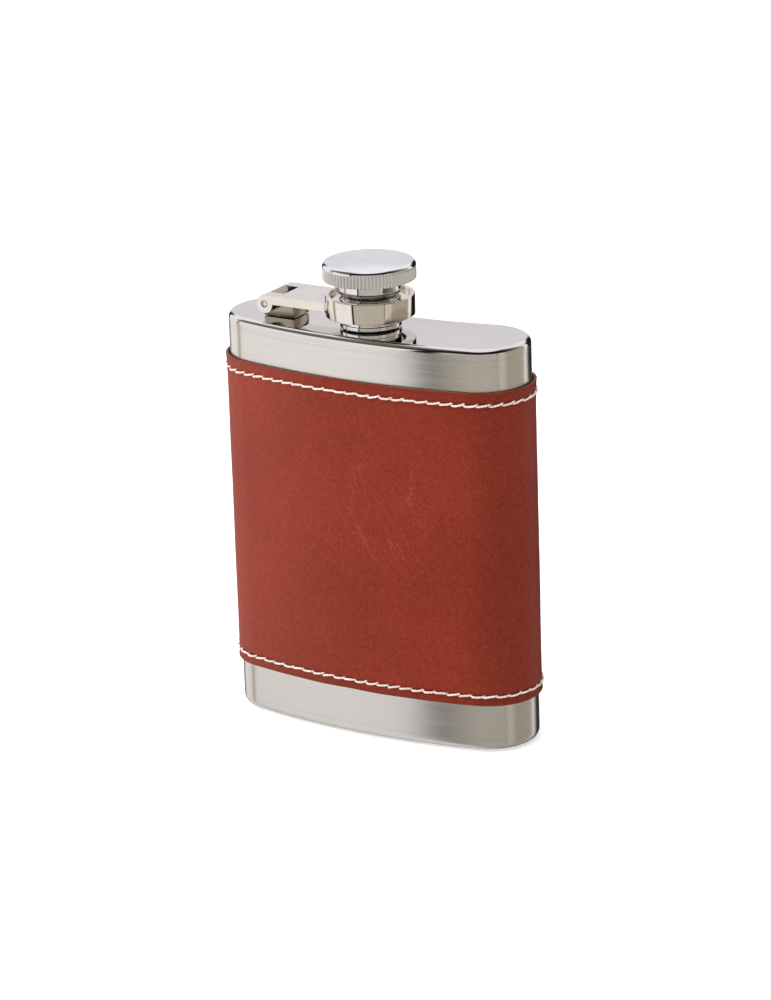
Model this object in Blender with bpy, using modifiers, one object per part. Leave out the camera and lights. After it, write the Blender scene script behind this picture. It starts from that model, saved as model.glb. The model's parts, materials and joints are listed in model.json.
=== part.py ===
"""Pocket hip flask: a curved steel body in a stitched leather wrap, with a screw cap held captive by a hinged arm.

Units are metres, +Z is up, X runs along the flask's width and -Y is its outer (convex) face. The origin is
the centre of the base. Heights named ..._ABOVE_TOP are measured from the top plate's outer face.
"""

import math

import bmesh
import bpy
from mathutils import Vector

MM = 0.001

# Flask body
BODY_WIDTH = 70.0 * MM
BODY_HEIGHT = 87.0 * MM
END_RADIUS = 10.3 * MM
FRONT_RADIUS = 128.0 * MM
BACK_RADIUS = 100.0 * MM
STEEL_WALL = 0.6 * MM
TOP_EDGE_RADIUS = 1.3 * MM
BASE_EDGE_RADIUS = 1.6 * MM
PLATE_RIM_DEPTH = 2.4 * MM
WELD_GAP = 0.1 * MM

# Leather wrap and its two rows of thread
LEATHER_THICKNESS = 0.6 * MM
LEATHER_LOW = 10.2 * MM
LEATHER_BELOW_TOP = 8.8 * MM
LEATHER_SEAM_GAP = 0.3 * MM
GLUE_GAP = 0.1 * MM
THREAD_RADIUS = 0.22 * MM
THREAD_GAP = 0.03 * MM
TOP_ROW_INSET = 2.7 * MM
BOTTOM_ROW_INSET = 2.2 * MM

# Neck
NECK_BORE_RADIUS = 4.1 * MM
NECK_ROOT_RADIUS = 4.75 * MM
NECK_ABOVE_TOP = 6.6 * MM
NECK_FLANGE_WIDTH = 1.85 * MM
NECK_FLANGE_THICKNESS = 0.8 * MM
NECK_FIT = 0.1 * MM

# Thread shared by the neck and the cap's sleeve
THREAD_PITCH = 1.25 * MM
THREAD_TURNS = 3.0
RIDGE_RADIUS = 0.32 * MM
SLEEVE_RIDGE_SHOWING = 0.22 * MM
NECK_RIDGE_START_ABOVE_TOP = 1.9 * MM
SLEEVE_RIDGE_START_ABOVE_TOP = 1.8 * MM
CREST_CLEARANCE = 0.35 * MM

# Arm with its captive ring
RING_WALL = 2.1 * MM
RING_LOW_ABOVE_TOP = 2.6 * MM
RING_HIGH_ABOVE_TOP = 7.0 * MM
RING_RIM = 0.95 * MM
RING_RECESS_DEPTH = 1.0 * MM
RING_FLANGE_THICKNESS = 1.1 * MM
RING_BORE_CLEARANCE = 0.2 * MM
RING_UNDERCUT_CLEARANCE = 0.8 * MM
RING_EDGE = 0.2 * MM
ARM_WIDTH = 11.1 * MM
ARM_THICKNESS = 1.9 * MM
ARM_FILLET = 1.5 * MM
HINGE_DISTANCE = 22.5 * MM
HINGE_ABOVE_TOP = 3.35 * MM
EAR_RADIUS = 1.95 * MM
SLOT_WIDTH = 5.9 * MM
SLOT_REACH = 3.4 * MM

# Hinge bracket and pin
PIN_RADIUS = 0.6 * MM
PIN_CLEARANCE = 0.08 * MM
PIN_SHORT = 0.1 * MM
PIN_CHAMFER = 0.12 * MM
KNUCKLE_CLEARANCE = 0.1 * MM
KNUCKLE_BELOW_EAR = 0.1 * MM
BRACKET_FOOT_LENGTH = 5.6 * MM
BRACKET_UNDER_ARM = 0.5 * MM
BRACKET_CORNER = 1.1 * MM

# Cap
HEAD_RADIUS = 9.75 * MM
HEAD_LOW_ABOVE_TOP = 10.3 * MM
HEAD_BAND = 3.1 * MM
HEAD_EDGE = 0.35 * MM
DOME_RISE = 0.75 * MM
SHELL_WALL = 0.6 * MM
KNURL_COUNT = 80
KNURL_DEPTH = 0.28 * MM
WAIST_WALL = 0.4 * MM
WAIST_LOW_ABOVE_TOP = 7.5 * MM
SLEEVE_WALL = 0.45 * MM
SLEEVE_LOW_ABOVE_TOP = 0.3 * MM
SLEEVE_PAST_GASKET = 1.6 * MM
SLEEVE_FLANGE_STEP = 0.35 * MM
SLEEVE_FLANGE_THICKNESS = 0.9 * MM
CAP_FIT = 0.1 * MM
GASKET_THICKNESS = 1.2 * MM
GASKET_GAP = 0.1 * MM

# Facets
FRONT_STEPS = 20
END_STEPS = 12
BACK_HALF_STEPS = 8
ROUND_STEPS = 48
HELIX_STEPS = 20
DOME_RINGS = 3
EDGE_SEGMENTS = 3

# Sizes that follow from the ones above
END_X = BODY_WIDTH / 2 - END_RADIUS
FRONT_CENTRE = math.sqrt((FRONT_RADIUS - END_RADIUS) ** 2 - END_X**2)
BACK_CENTRE = math.sqrt((BACK_RADIUS + END_RADIUS) ** 2 - END_X**2)
END_Y = (FRONT_RADIUS - FRONT_CENTRE - END_RADIUS) / 2
FRONT_Y = END_Y + FRONT_CENTRE - FRONT_RADIUS
BACK_Y = END_Y + BACK_CENTRE - BACK_RADIUS
AXIS_Y = (FRONT_Y + BACK_Y) / 2
LEATHER_OFFSET = GLUE_GAP + LEATHER_THICKNESS
LEATHER_HIGH = BODY_HEIGHT - LEATHER_BELOW_TOP
HINGE_Z = BODY_HEIGHT + HINGE_ABOVE_TOP
KNUCKLE_RADIUS = EAR_RADIUS - KNUCKLE_BELOW_EAR
NECK_CREST_RADIUS = NECK_ROOT_RADIUS + RIDGE_RADIUS
SLEEVE_CREST_RADIUS = NECK_CREST_RADIUS + CREST_CLEARANCE
SLEEVE_BORE_RADIUS = SLEEVE_CREST_RADIUS + SLEEVE_RIDGE_SHOWING
SLEEVE_RADIUS = SLEEVE_BORE_RADIUS + SLEEVE_WALL
WAIST_RADIUS = SLEEVE_RADIUS + CAP_FIT + WAIST_WALL
GASKET_RADIUS = SLEEVE_CREST_RADIUS - CAP_FIT
GASKET_LOW_ABOVE_TOP = NECK_ABOVE_TOP + GASKET_GAP
GASKET_HIGH_ABOVE_TOP = GASKET_LOW_ABOVE_TOP + GASKET_THICKNESS
SLEEVE_HIGH_ABOVE_TOP = GASKET_HIGH_ABOVE_TOP + SLEEVE_PAST_GASKET
NECK_FLANGE_RADIUS = NECK_ROOT_RADIUS + NECK_FLANGE_WIDTH
RING_UNDERCUT_RADIUS = SLEEVE_RADIUS + SLEEVE_FLANGE_STEP + RING_UNDERCUT_CLEARANCE
RING_RADIUS = RING_UNDERCUT_RADIUS + RING_WALL


def clear_scene():
    """Removes whatever the file opened with."""
    for old in list(bpy.data.objects):
        bpy.data.objects.remove(old)


def new_collection(name, is_helper=False):
    """Adds a collection to the scene; a helper one is left out of renders."""
    collection = bpy.data.collections.new(name)
    collection.hide_render = is_helper
    bpy.context.scene.collection.children.link(collection)
    return collection


def principled(name, colour, metallic, roughness):
    """Makes a plain material."""
    material = bpy.data.materials.new(name)
    material.use_nodes = True
    shader = material.node_tree.nodes["Principled BSDF"]
    shader.inputs["Base Color"].default_value = (*colour, 1.0)
    shader.inputs["Metallic"].default_value = metallic
    shader.inputs["Roughness"].default_value = roughness
    return material


class Workshop:
    """Holds the collections and materials, and adds finished objects to them."""

    def __init__(self):
        self.parts = new_collection("hip_flask")
        self.cutters = new_collection("cutters", is_helper=True)
        self.brushed_steel = principled("brushed_steel", (0.62, 0.61, 0.58), 1.0, 0.34)
        self.polished_steel = principled("polished_steel", (0.74, 0.74, 0.75), 1.0, 0.08)
        self.nickel = principled("polished_nickel", (0.75, 0.70, 0.62), 1.0, 0.07)
        self.chrome = principled("chrome", (0.80, 0.80, 0.80), 1.0, 0.06)
        self.leather = principled("russet_leather", (0.36, 0.085, 0.035), 0.0, 0.5)
        self.thread = principled("waxed_thread", (0.86, 0.77, 0.72), 0.0, 0.8)
        self.silicone = principled("silicone", (0.80, 0.80, 0.78), 0.0, 0.6)

    def add_part(self, name, mesh, material):
        """Adds a mesh or curve as one visible sub-part."""
        part = bpy.data.objects.new(name, mesh)
        part.data.materials.append(material)
        self.parts.objects.link(part)
        return part

    def add_cutter(self, name, mesh):
        """Adds a mesh or curve that only shapes other objects."""
        cutter = bpy.data.objects.new(name, mesh)
        cutter.hide_render = True
        cutter.display_type = "WIRE"
        self.cutters.objects.link(cutter)
        return cutter


def arc_points(centre, radius, start, end, steps):
    """Points on an arc, from the start angle to the end angle, both ends included."""
    cx, cy = centre
    angles = [start + (end - start) * i / steps for i in range(steps + 1)]
    return [(cx + radius * math.cos(a), cy + radius * math.sin(a)) for a in angles]


def plan_outline(offset, seam_gap=0.0):
    """The body's plan outline moved outwards by offset, anticlockwise from the middle of the back.

    A seam gap leaves the outline open there; without one the last point is left to close on the first.
    """
    front_lean = math.atan2(END_X, FRONT_CENTRE)
    back_lean = math.atan2(END_X, BACK_CENTRE)
    back_radius = BACK_RADIUS - offset
    seam_lean = seam_gap / 2 / back_radius
    back_centre = (0.0, END_Y + BACK_CENTRE)
    front_centre = (0.0, END_Y + FRONT_CENTRE)
    down = -math.pi / 2
    up = math.pi / 2
    end_radius = END_RADIUS + offset
    back_left = arc_points(back_centre, back_radius, down - seam_lean, down - back_lean, BACK_HALF_STEPS)
    left_end = arc_points((-END_X, END_Y), end_radius, up - back_lean, 3 * up - front_lean, END_STEPS)
    front = arc_points(front_centre, FRONT_RADIUS + offset, down - front_lean, down + front_lean, FRONT_STEPS)
    right_end = arc_points((END_X, END_Y), end_radius, down + front_lean, up + back_lean, END_STEPS)
    back_right = arc_points(back_centre, back_radius, down + back_lean, down + seam_lean, BACK_HALF_STEPS)
    points = back_left + left_end[1:] + front[1:] + right_end[1:] + back_right[1:]
    return points if seam_gap else points[:-1]


def outline_mesh(name, outline, low, high, is_open=False, lid=None):
    """A wall that stands on an outline, with an optional face closing its 'top' or 'bottom'."""
    shape = bmesh.new()
    floor = [shape.verts.new((x, y, low)) for x, y in outline]
    ends = floor[1:] if is_open else floor[1:] + floor[:1]
    edges = [shape.edges.new(pair) for pair in zip(floor, ends)]
    raised = bmesh.ops.extrude_edge_only(shape, edges=edges)["geom"]
    ceiling = [v for v in raised if isinstance(v, bmesh.types.BMVert)]
    bmesh.ops.translate(shape, verts=ceiling, vec=(0, 0, high - low))
    if lid:
        rim = edges if lid == "bottom" else [e for e in raised if isinstance(e, bmesh.types.BMEdge)]
        rim = [e for e in rim if abs(e.verts[0].co.z - e.verts[1].co.z) < 1e-9]
        bmesh.ops.edgeloop_fill(shape, edges=rim)
    bmesh.ops.recalc_face_normals(shape, faces=shape.faces)
    if is_open:
        face_outwards(shape)
    mesh = bpy.data.meshes.new(name)
    shape.to_mesh(mesh)
    shape.free()
    return mesh


def face_outwards(shape):
    """Turns an open wall round if its first front face looks into the flask."""
    shape.faces.ensure_lookup_table()
    front_face = min(shape.faces, key=lambda face: face.calc_center_median().y)
    if front_face.normal.y > 0:
        bmesh.ops.reverse_faces(shape, faces=shape.faces)


def solidify(part, thickness, offset):
    """Gives an open surface its wall; offset -1 grows it inwards and 1 outwards."""
    wall = part.modifiers.new("wall", "SOLIDIFY")
    wall.thickness = thickness
    wall.offset = offset
    wall.use_even_offset = True


def round_edges(part, width, sharper_than):
    """Rounds every edge that is sharper than an angle."""
    bevel = part.modifiers.new("rounded_edges", "BEVEL")
    bevel.width = width
    bevel.segments = EDGE_SEGMENTS
    bevel.limit_method = "ANGLE"
    bevel.angle_limit = sharper_than


def boolean(part, other, operation):
    """Cuts, joins or intersects a part with another mesh object."""
    step = part.modifiers.new(f"{operation.lower()}_{other.name}", "BOOLEAN")
    step.operation = operation
    step.solver = "EXACT"
    step.object = other


def turned_mesh(name, profile, is_ring):
    """The half section of a turned shape, as (radius, height) pairs running down its outer side."""
    mesh = bpy.data.meshes.new(name)
    last = len(profile) - 1
    edges = [(i, i + 1) for i in range(last)] + ([(last, 0)] if is_ring else [])
    mesh.from_pydata([(r, 0.0, z) for r, z in profile], edges, [])
    return mesh


def spin(part, steps=ROUND_STEPS):
    """Turns a half section into a full body about the part's own Z axis."""
    screw = part.modifiers.new("turned", "SCREW")
    screw.steps = steps
    screw.render_steps = steps
    screw.use_merge_vertices = True
    screw.merge_threshold = 0.00001
    part.location = (0.0, AXIS_Y, BODY_HEIGHT)


def mesh_from(helper, name):
    """The evaluated mesh of a curve or modified object, with its caps welded, as a plain mesh."""
    bpy.context.view_layer.update()
    mesh = bpy.data.meshes.new_from_object(helper.evaluated_get(bpy.context.evaluated_depsgraph_get()))
    mesh.name = name
    shape = bmesh.new()
    shape.from_mesh(mesh)
    bmesh.ops.remove_doubles(shape, verts=shape.verts, dist=0.000001)
    shape.to_mesh(mesh)
    shape.free()
    return mesh


def as_cutter(workshop, helper):
    """Replaces a curve or modified helper with a plain mesh cutter in the same place."""
    name = helper.name
    place = helper.matrix_world.copy()
    mesh = mesh_from(helper, name)
    bpy.data.objects.remove(helper)
    cutter = workshop.add_cutter(name, mesh)
    cutter.matrix_world = place
    return cutter


def poly_curve(name, points, is_loop, is_flat):
    """A curve through points, which is a flat filled outline or a line in space."""
    curve = bpy.data.curves.new(name, "CURVE")
    curve.dimensions = "2D" if is_flat else "3D"
    curve.fill_mode = "BOTH" if is_flat else "FULL"
    spline = curve.splines.new("POLY")
    spline.points.add(len(points) - 1)
    for slot, point in zip(spline.points, points):
        slot.co = (*Vector(point).to_3d(), 1.0)
    spline.use_cyclic_u = is_loop
    return curve


def wire(name, points, radius, is_loop, bevel_resolution):
    """A round wire along points."""
    curve = poly_curve(name, points, is_loop, is_flat=False)
    curve.bevel_depth = radius
    curve.bevel_resolution = bevel_resolution
    curve.use_fill_caps = not is_loop
    return curve


def helix_points(radius, start, turns):
    """Points along the screw thread's centre line, rising one pitch a turn."""
    count = round(turns * HELIX_STEPS)
    angles = [2 * math.pi * i / HELIX_STEPS for i in range(count + 1)]
    rise = THREAD_PITCH / (2 * math.pi)
    return [(radius * math.cos(a), radius * math.sin(a), start + rise * a) for a in angles]


def shade_round(part):
    """Smooths the facets of a turned or curved part, keeping its real corners."""
    if part.type == "MESH":
        part.data.shade_smooth()
        part.data.set_sharp_from_angle(angle=math.radians(35))


def cylinder_cutter(workshop, name, radius, length, location, along_y=False, vertices=32):
    """A plain cylinder for cutting a hole."""
    turn = (math.pi / 2, 0, 0) if along_y else (0, 0, 0)
    bpy.ops.mesh.primitive_cylinder_add(vertices=vertices, radius=radius, depth=length)
    drawn = bpy.context.active_object
    cutter = workshop.add_cutter(name, drawn.data)
    bpy.data.objects.remove(drawn)
    cutter.location = location
    cutter.rotation_euler = turn
    return cutter


def box_cutter(workshop, name, low, high):
    """A plain box between two corners."""
    bpy.ops.mesh.primitive_cube_add(size=1.0)
    drawn = bpy.context.active_object
    size = Vector(high) - Vector(low)
    for vertex in drawn.data.vertices:
        vertex.co = Vector([c * s for c, s in zip(vertex.co, size)])
    cutter = workshop.add_cutter(name, drawn.data)
    bpy.data.objects.remove(drawn)
    cutter.location = (Vector(high) + Vector(low)) / 2
    return cutter


def build_body(workshop):
    """The rolled wall, with the top and bottom plates butt-welded to it."""
    outline = plan_outline(0.0)
    wall_low = PLATE_RIM_DEPTH + WELD_GAP
    wall_high = BODY_HEIGHT - PLATE_RIM_DEPTH - WELD_GAP
    wall_mesh = outline_mesh("body_wall", outline, wall_low, wall_high)
    wall = workshop.add_part("body_wall", wall_mesh, workshop.brushed_steel)
    solidify(wall, STEEL_WALL, -1)

    top_low = BODY_HEIGHT - PLATE_RIM_DEPTH
    top_mesh = outline_mesh("top_plate", outline, top_low, BODY_HEIGHT, lid="top")
    top = workshop.add_part("top_plate", top_mesh, workshop.polished_steel)
    round_edges(top, TOP_EDGE_RADIUS, math.radians(60))
    solidify(top, STEEL_WALL, -1)
    neck_hole = cylinder_cutter(
        workshop,
        "neck_hole",
        NECK_ROOT_RADIUS + NECK_FIT,
        6 * STEEL_WALL,
        (0.0, AXIS_Y, BODY_HEIGHT - STEEL_WALL / 2),
        vertices=ROUND_STEPS,
    )
    boolean(top, neck_hole, "DIFFERENCE")

    base_mesh = outline_mesh("bottom_plate", outline, 0.0, PLATE_RIM_DEPTH, lid="bottom")
    base = workshop.add_part("bottom_plate", base_mesh, workshop.brushed_steel)
    round_edges(base, BASE_EDGE_RADIUS, math.radians(60))
    solidify(base, STEEL_WALL, -1)
    for part in (wall, top, base):
        shade_round(part)


def build_wrap(workshop):
    """The glued leather wrap, butted at the back, and its two rows of decorative thread."""
    outline = plan_outline(GLUE_GAP, LEATHER_SEAM_GAP)
    mesh = outline_mesh("leather_wrap", outline, LEATHER_LOW, LEATHER_HIGH, is_open=True)
    wrap = workshop.add_part("leather_wrap", mesh, workshop.leather)
    solidify(wrap, LEATHER_THICKNESS, 1)
    shade_round(wrap)

    rows = {
        "top_stitching": LEATHER_HIGH - TOP_ROW_INSET,
        "bottom_stitching": LEATHER_LOW + BOTTOM_ROW_INSET,
    }
    for name, height in rows.items():
        path = [(x, y, height) for x, y in plan_outline(LEATHER_OFFSET + THREAD_GAP + THREAD_RADIUS)]
        workshop.add_part(name, wire(name, path, THREAD_RADIUS, True, 1), workshop.thread)


def thread_ridge(workshop, name, radius, start, turns):
    """One helical ridge as a mesh cutter, standing on the neck's axis."""
    path = helix_points(radius, start, turns)
    ridge = workshop.add_cutter(name, wire(name, path, RIDGE_RADIUS, False, 2))
    ridge.location = (0.0, AXIS_Y, BODY_HEIGHT)
    bpy.context.view_layer.update()
    return as_cutter(workshop, ridge)


def build_neck(workshop):
    """The threaded neck, whose flange is welded under the top plate."""
    flange_high = -STEEL_WALL - NECK_FIT
    flange_low = flange_high - NECK_FLANGE_THICKNESS
    lip = (NECK_ROOT_RADIUS - NECK_BORE_RADIUS) / 3
    profile = [
        (NECK_BORE_RADIUS + lip, NECK_ABOVE_TOP),
        (NECK_ROOT_RADIUS, NECK_ABOVE_TOP - lip),
        (NECK_ROOT_RADIUS, flange_high),
        (NECK_FLANGE_RADIUS, flange_high),
        (NECK_FLANGE_RADIUS, flange_low),
        (NECK_BORE_RADIUS, flange_low),
        (NECK_BORE_RADIUS, NECK_ABOVE_TOP - lip),
    ]
    neck = workshop.add_part("neck", turned_mesh("neck", profile, True), workshop.polished_steel)
    spin(neck)
    ridge = thread_ridge(workshop, "neck_ridge", NECK_ROOT_RADIUS, NECK_RIDGE_START_ABOVE_TOP, THREAD_TURNS)
    boolean(neck, ridge, "UNION")
    shade_round(neck)


def arm_outline():
    """The arm's plan from the hinge to inside the ring, with a fillet where each side runs into the ring."""
    half = ARM_WIDTH / 2
    sunk_radius = RING_RADIUS - RING_EDGE
    fillet_x = -math.sqrt((sunk_radius + ARM_FILLET) ** 2 - (half + ARM_FILLET) ** 2)
    meets = math.atan2(half + ARM_FILLET, fillet_x) - math.pi
    fillet = arc_points((fillet_x, half + ARM_FILLET), ARM_FILLET, -math.pi / 2, meets, 6)
    inside = -RING_UNDERCUT_RADIUS / 2
    upper = [(-HINGE_DISTANCE, half)] + fillet + [(inside, half - ARM_FILLET / 2)]
    lower = [(x, -y) for x, y in reversed(upper)]
    return upper + lower


def ring_cutter(workshop):
    """What is bored out of the ring: a shallow recess above, a hole, and a wide undercut below."""
    bore = SLEEVE_RADIUS + RING_BORE_CLEARANCE
    floor = RING_HIGH_ABOVE_TOP - RING_RECESS_DEPTH
    underside = floor - RING_FLANGE_THICKNESS
    over = 2 * MM
    profile = [
        (0.0, RING_HIGH_ABOVE_TOP + over),
        (RING_RADIUS - RING_RIM, RING_HIGH_ABOVE_TOP + over),
        (RING_RADIUS - RING_RIM, floor),
        (bore, floor),
        (bore, underside),
        (RING_UNDERCUT_RADIUS, underside),
        (RING_UNDERCUT_RADIUS, RING_LOW_ABOVE_TOP - over),
        (0.0, RING_LOW_ABOVE_TOP - over),
    ]
    cutter = workshop.add_cutter("ring_bore", turned_mesh("ring_bore", profile, False))
    spin(cutter)
    bpy.context.view_layer.update()
    return as_cutter(workshop, cutter)


def build_arm(workshop):
    """The cast arm: two ears on the hinge pin, a flat strap, and the ring that keeps the cap."""
    profile = [
        (0.0, RING_HIGH_ABOVE_TOP),
        (RING_RADIUS - RING_EDGE, RING_HIGH_ABOVE_TOP),
        (RING_RADIUS, RING_HIGH_ABOVE_TOP - RING_EDGE),
        (RING_RADIUS, RING_LOW_ABOVE_TOP + RING_EDGE),
        (RING_RADIUS - RING_EDGE, RING_LOW_ABOVE_TOP),
        (0.0, RING_LOW_ABOVE_TOP),
    ]
    hinge = (-HINGE_DISTANCE, AXIS_Y, HINGE_Z)
    arm = workshop.add_part("cap_arm", turned_mesh("cap_arm", profile, False), workshop.nickel)
    spin(arm)

    strap_curve = poly_curve("arm_strap", arm_outline(), is_loop=True, is_flat=True)
    strap_curve.extrude = ARM_THICKNESS / 2
    strap = workshop.add_cutter("arm_strap", strap_curve)
    strap.location = (0.0, AXIS_Y, HINGE_Z + EAR_RADIUS - ARM_THICKNESS / 2)
    bpy.context.view_layer.update()
    strap = as_cutter(workshop, strap)
    ears = cylinder_cutter(workshop, "arm_ears", EAR_RADIUS, ARM_WIDTH, hinge, along_y=True, vertices=40)

    slot_low = (hinge[0] - 2 * EAR_RADIUS, AXIS_Y - SLOT_WIDTH / 2, HINGE_Z - 2 * EAR_RADIUS)
    slot_high = (hinge[0] + SLOT_REACH, AXIS_Y + SLOT_WIDTH / 2, HINGE_Z + 2 * EAR_RADIUS)
    slot = box_cutter(workshop, "arm_slot", slot_low, slot_high)
    hole_radius = PIN_RADIUS + PIN_CLEARANCE
    pin_hole = cylinder_cutter(workshop, "arm_pin_hole", hole_radius, 2 * ARM_WIDTH, hinge, along_y=True)

    boolean(arm, strap, "UNION")
    boolean(arm, ears, "UNION")
    boolean(arm, ring_cutter(workshop), "DIFFERENCE")
    boolean(arm, slot, "DIFFERENCE")
    boolean(arm, pin_hole, "DIFFERENCE")
    shade_round(arm)


def bracket_outline():
    """The bracket's side view, with the pin's axis at (0, 0): a round knuckle on a foot that runs under the arm."""
    foot_low = -HINGE_ABOVE_TOP + WELD_GAP
    foot_high = EAR_RADIUS - ARM_THICKNESS - BRACKET_UNDER_ARM
    foot_end = BRACKET_FOOT_LENGTH
    corner = arc_points(
        (foot_end - BRACKET_CORNER, foot_high - BRACKET_CORNER), BRACKET_CORNER, 0, math.pi / 2, 6
    )
    knuckle_end = math.pi
    knuckle_start = math.asin(foot_high / KNUCKLE_RADIUS)
    knuckle = arc_points((0.0, 0.0), KNUCKLE_RADIUS, knuckle_start, knuckle_end, 18)
    return [(-KNUCKLE_RADIUS, foot_low), (foot_end, foot_low)] + corner + knuckle


def build_hinge(workshop):
    """The bracket welded to the top plate, and the pin through it and the arm's ears."""
    hinge = (-HINGE_DISTANCE, AXIS_Y, HINGE_Z)
    curve = poly_curve("hinge_bracket", bracket_outline(), is_loop=True, is_flat=True)
    curve.extrude = SLOT_WIDTH / 2 - KNUCKLE_CLEARANCE
    side_view = workshop.add_cutter("bracket_side_view", curve)
    mesh = mesh_from(side_view, "hinge_bracket")
    bpy.data.objects.remove(side_view)
    bracket = workshop.add_part("hinge_bracket", mesh, workshop.nickel)
    bracket.location = hinge
    bracket.rotation_euler = (math.pi / 2, 0, 0)
    hole_radius = PIN_RADIUS + PIN_CLEARANCE
    hole = cylinder_cutter(workshop, "bracket_pin_hole", hole_radius, 2 * ARM_WIDTH, hinge, along_y=True)
    boolean(bracket, hole, "DIFFERENCE")
    shade_round(bracket)

    half_length = ARM_WIDTH / 2 - PIN_SHORT
    profile = [
        (0.0, half_length),
        (PIN_RADIUS - PIN_CHAMFER, half_length),
        (PIN_RADIUS, half_length - PIN_CHAMFER),
        (PIN_RADIUS, -half_length + PIN_CHAMFER),
        (PIN_RADIUS - PIN_CHAMFER, -half_length),
        (0.0, -half_length),
    ]
    pin = workshop.add_part("hinge_pin", turned_mesh("hinge_pin", profile, False), workshop.polished_steel)
    spin(pin, 24)
    pin.location = hinge
    pin.rotation_euler = (math.pi / 2, 0, 0)
    shade_round(pin)


def knurl_outline():
    """A star with one peak and one valley for each ridge of the knurl."""
    points = []
    for i in range(2 * KNURL_COUNT):
        radius = HEAD_RADIUS if i % 2 == 0 else HEAD_RADIUS - KNURL_DEPTH
        angle = math.pi * i / KNURL_COUNT
        points.append((radius * math.cos(angle), radius * math.sin(angle)))
    return points


def dome_points(radius, edge_height, rise):
    """A shallow spherical dome from its centre out to its edge."""
    sphere = (radius**2 + rise**2) / (2 * rise)
    points = []
    for i in range(DOME_RINGS + 1):
        r = radius * i / DOME_RINGS
        points.append((r, edge_height + math.sqrt(sphere**2 - r**2) - (sphere - rise)))
    return points


def build_cap(workshop):
    """The knurled shell, the core that fills it, the threaded sleeve and the gasket."""
    head_low = HEAD_LOW_ABOVE_TOP
    band_high = head_low + HEAD_BAND
    inner_radius = HEAD_RADIUS - KNURL_DEPTH - SHELL_WALL
    inner_high = band_high - SHELL_WALL / 2
    profile = dome_points(HEAD_RADIUS - HEAD_EDGE, band_high + HEAD_EDGE, DOME_RISE) + [
        (HEAD_RADIUS, band_high),
        (HEAD_RADIUS, head_low + HEAD_EDGE / 2),
        (HEAD_RADIUS - HEAD_EDGE / 2, head_low),
        (inner_radius, head_low),
        (inner_radius, inner_high),
        (0.0, inner_high),
    ]
    shell = workshop.add_part("cap_shell", turned_mesh("cap_shell", profile, False), workshop.chrome)
    spin(shell, 2 * KNURL_COUNT)
    knurl_curve = poly_curve("knurl", knurl_outline(), is_loop=True, is_flat=True)
    knurl_curve.extrude = 2 * HEAD_BAND
    knurl = workshop.add_cutter("knurl", knurl_curve)
    knurl.location = (0.0, AXIS_Y, BODY_HEIGHT + head_low + HEAD_BAND / 2)
    bpy.context.view_layer.update()
    boolean(shell, as_cutter(workshop, knurl), "INTERSECT")

    disc_radius = inner_radius - CAP_FIT
    socket_high = SLEEVE_HIGH_ABOVE_TOP + CAP_FIT
    boss_low = GASKET_HIGH_ABOVE_TOP + GASKET_GAP
    profile = [
        (0.0, inner_high - CAP_FIT),
        (disc_radius, inner_high - CAP_FIT),
        (disc_radius, head_low + CAP_FIT),
        (WAIST_RADIUS, head_low + CAP_FIT),
        (WAIST_RADIUS, WAIST_LOW_ABOVE_TOP),
        (SLEEVE_RADIUS + CAP_FIT, WAIST_LOW_ABOVE_TOP),
        (SLEEVE_RADIUS + CAP_FIT, socket_high),
        (GASKET_RADIUS, socket_high),
        (GASKET_RADIUS, boss_low),
        (0.0, boss_low),
    ]
    core = workshop.add_part("cap_core", turned_mesh("cap_core", profile, False), workshop.chrome)
    spin(core)

    flange_radius = SLEEVE_RADIUS + SLEEVE_FLANGE_STEP
    flange_high = SLEEVE_LOW_ABOVE_TOP + SLEEVE_FLANGE_THICKNESS
    profile = [
        (SLEEVE_RADIUS, SLEEVE_HIGH_ABOVE_TOP),
        (SLEEVE_RADIUS, flange_high),
        (flange_radius, flange_high),
        (flange_radius, SLEEVE_LOW_ABOVE_TOP),
        (SLEEVE_BORE_RADIUS, SLEEVE_LOW_ABOVE_TOP),
        (SLEEVE_BORE_RADIUS, SLEEVE_HIGH_ABOVE_TOP),
    ]
    sleeve = workshop.add_part("cap_sleeve", turned_mesh("cap_sleeve", profile, True), workshop.chrome)
    spin(sleeve)
    ridge_radius = SLEEVE_CREST_RADIUS + RIDGE_RADIUS
    ridge = thread_ridge(workshop, "sleeve_ridge", ridge_radius, SLEEVE_RIDGE_START_ABOVE_TOP, THREAD_TURNS)
    boolean(sleeve, ridge, "UNION")

    profile = [
        (0.0, GASKET_HIGH_ABOVE_TOP),
        (GASKET_RADIUS, GASKET_HIGH_ABOVE_TOP),
        (GASKET_RADIUS, GASKET_LOW_ABOVE_TOP),
        (0.0, GASKET_LOW_ABOVE_TOP),
    ]
    gasket = workshop.add_part("cap_gasket", turned_mesh("cap_gasket", profile, False), workshop.silicone)
    spin(gasket)
    for part in (shell, core, sleeve, gasket):
        shade_round(part)


def main():
    """Builds the whole flask."""
    clear_scene()
    workshop = Workshop()
    build_body(workshop)
    build_wrap(workshop)
    build_neck(workshop)
    build_arm(workshop)
    build_hinge(workshop)
    build_cap(workshop)


main()
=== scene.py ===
"""Looks of a pocket hip flask: brushed steel, a stitched russet leather wrap and a captive screw cap.

Lengths are in metres, +Z is up, X runs along the flask's width and -Y is its convex front.
"""

import json
import logging
import math
from contextlib import contextmanager
from dataclasses import dataclass, field
from enum import Enum
from typing import Iterator, Sequence

import bmesh
import bpy
from mathutils import Matrix, Vector, noise


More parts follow.
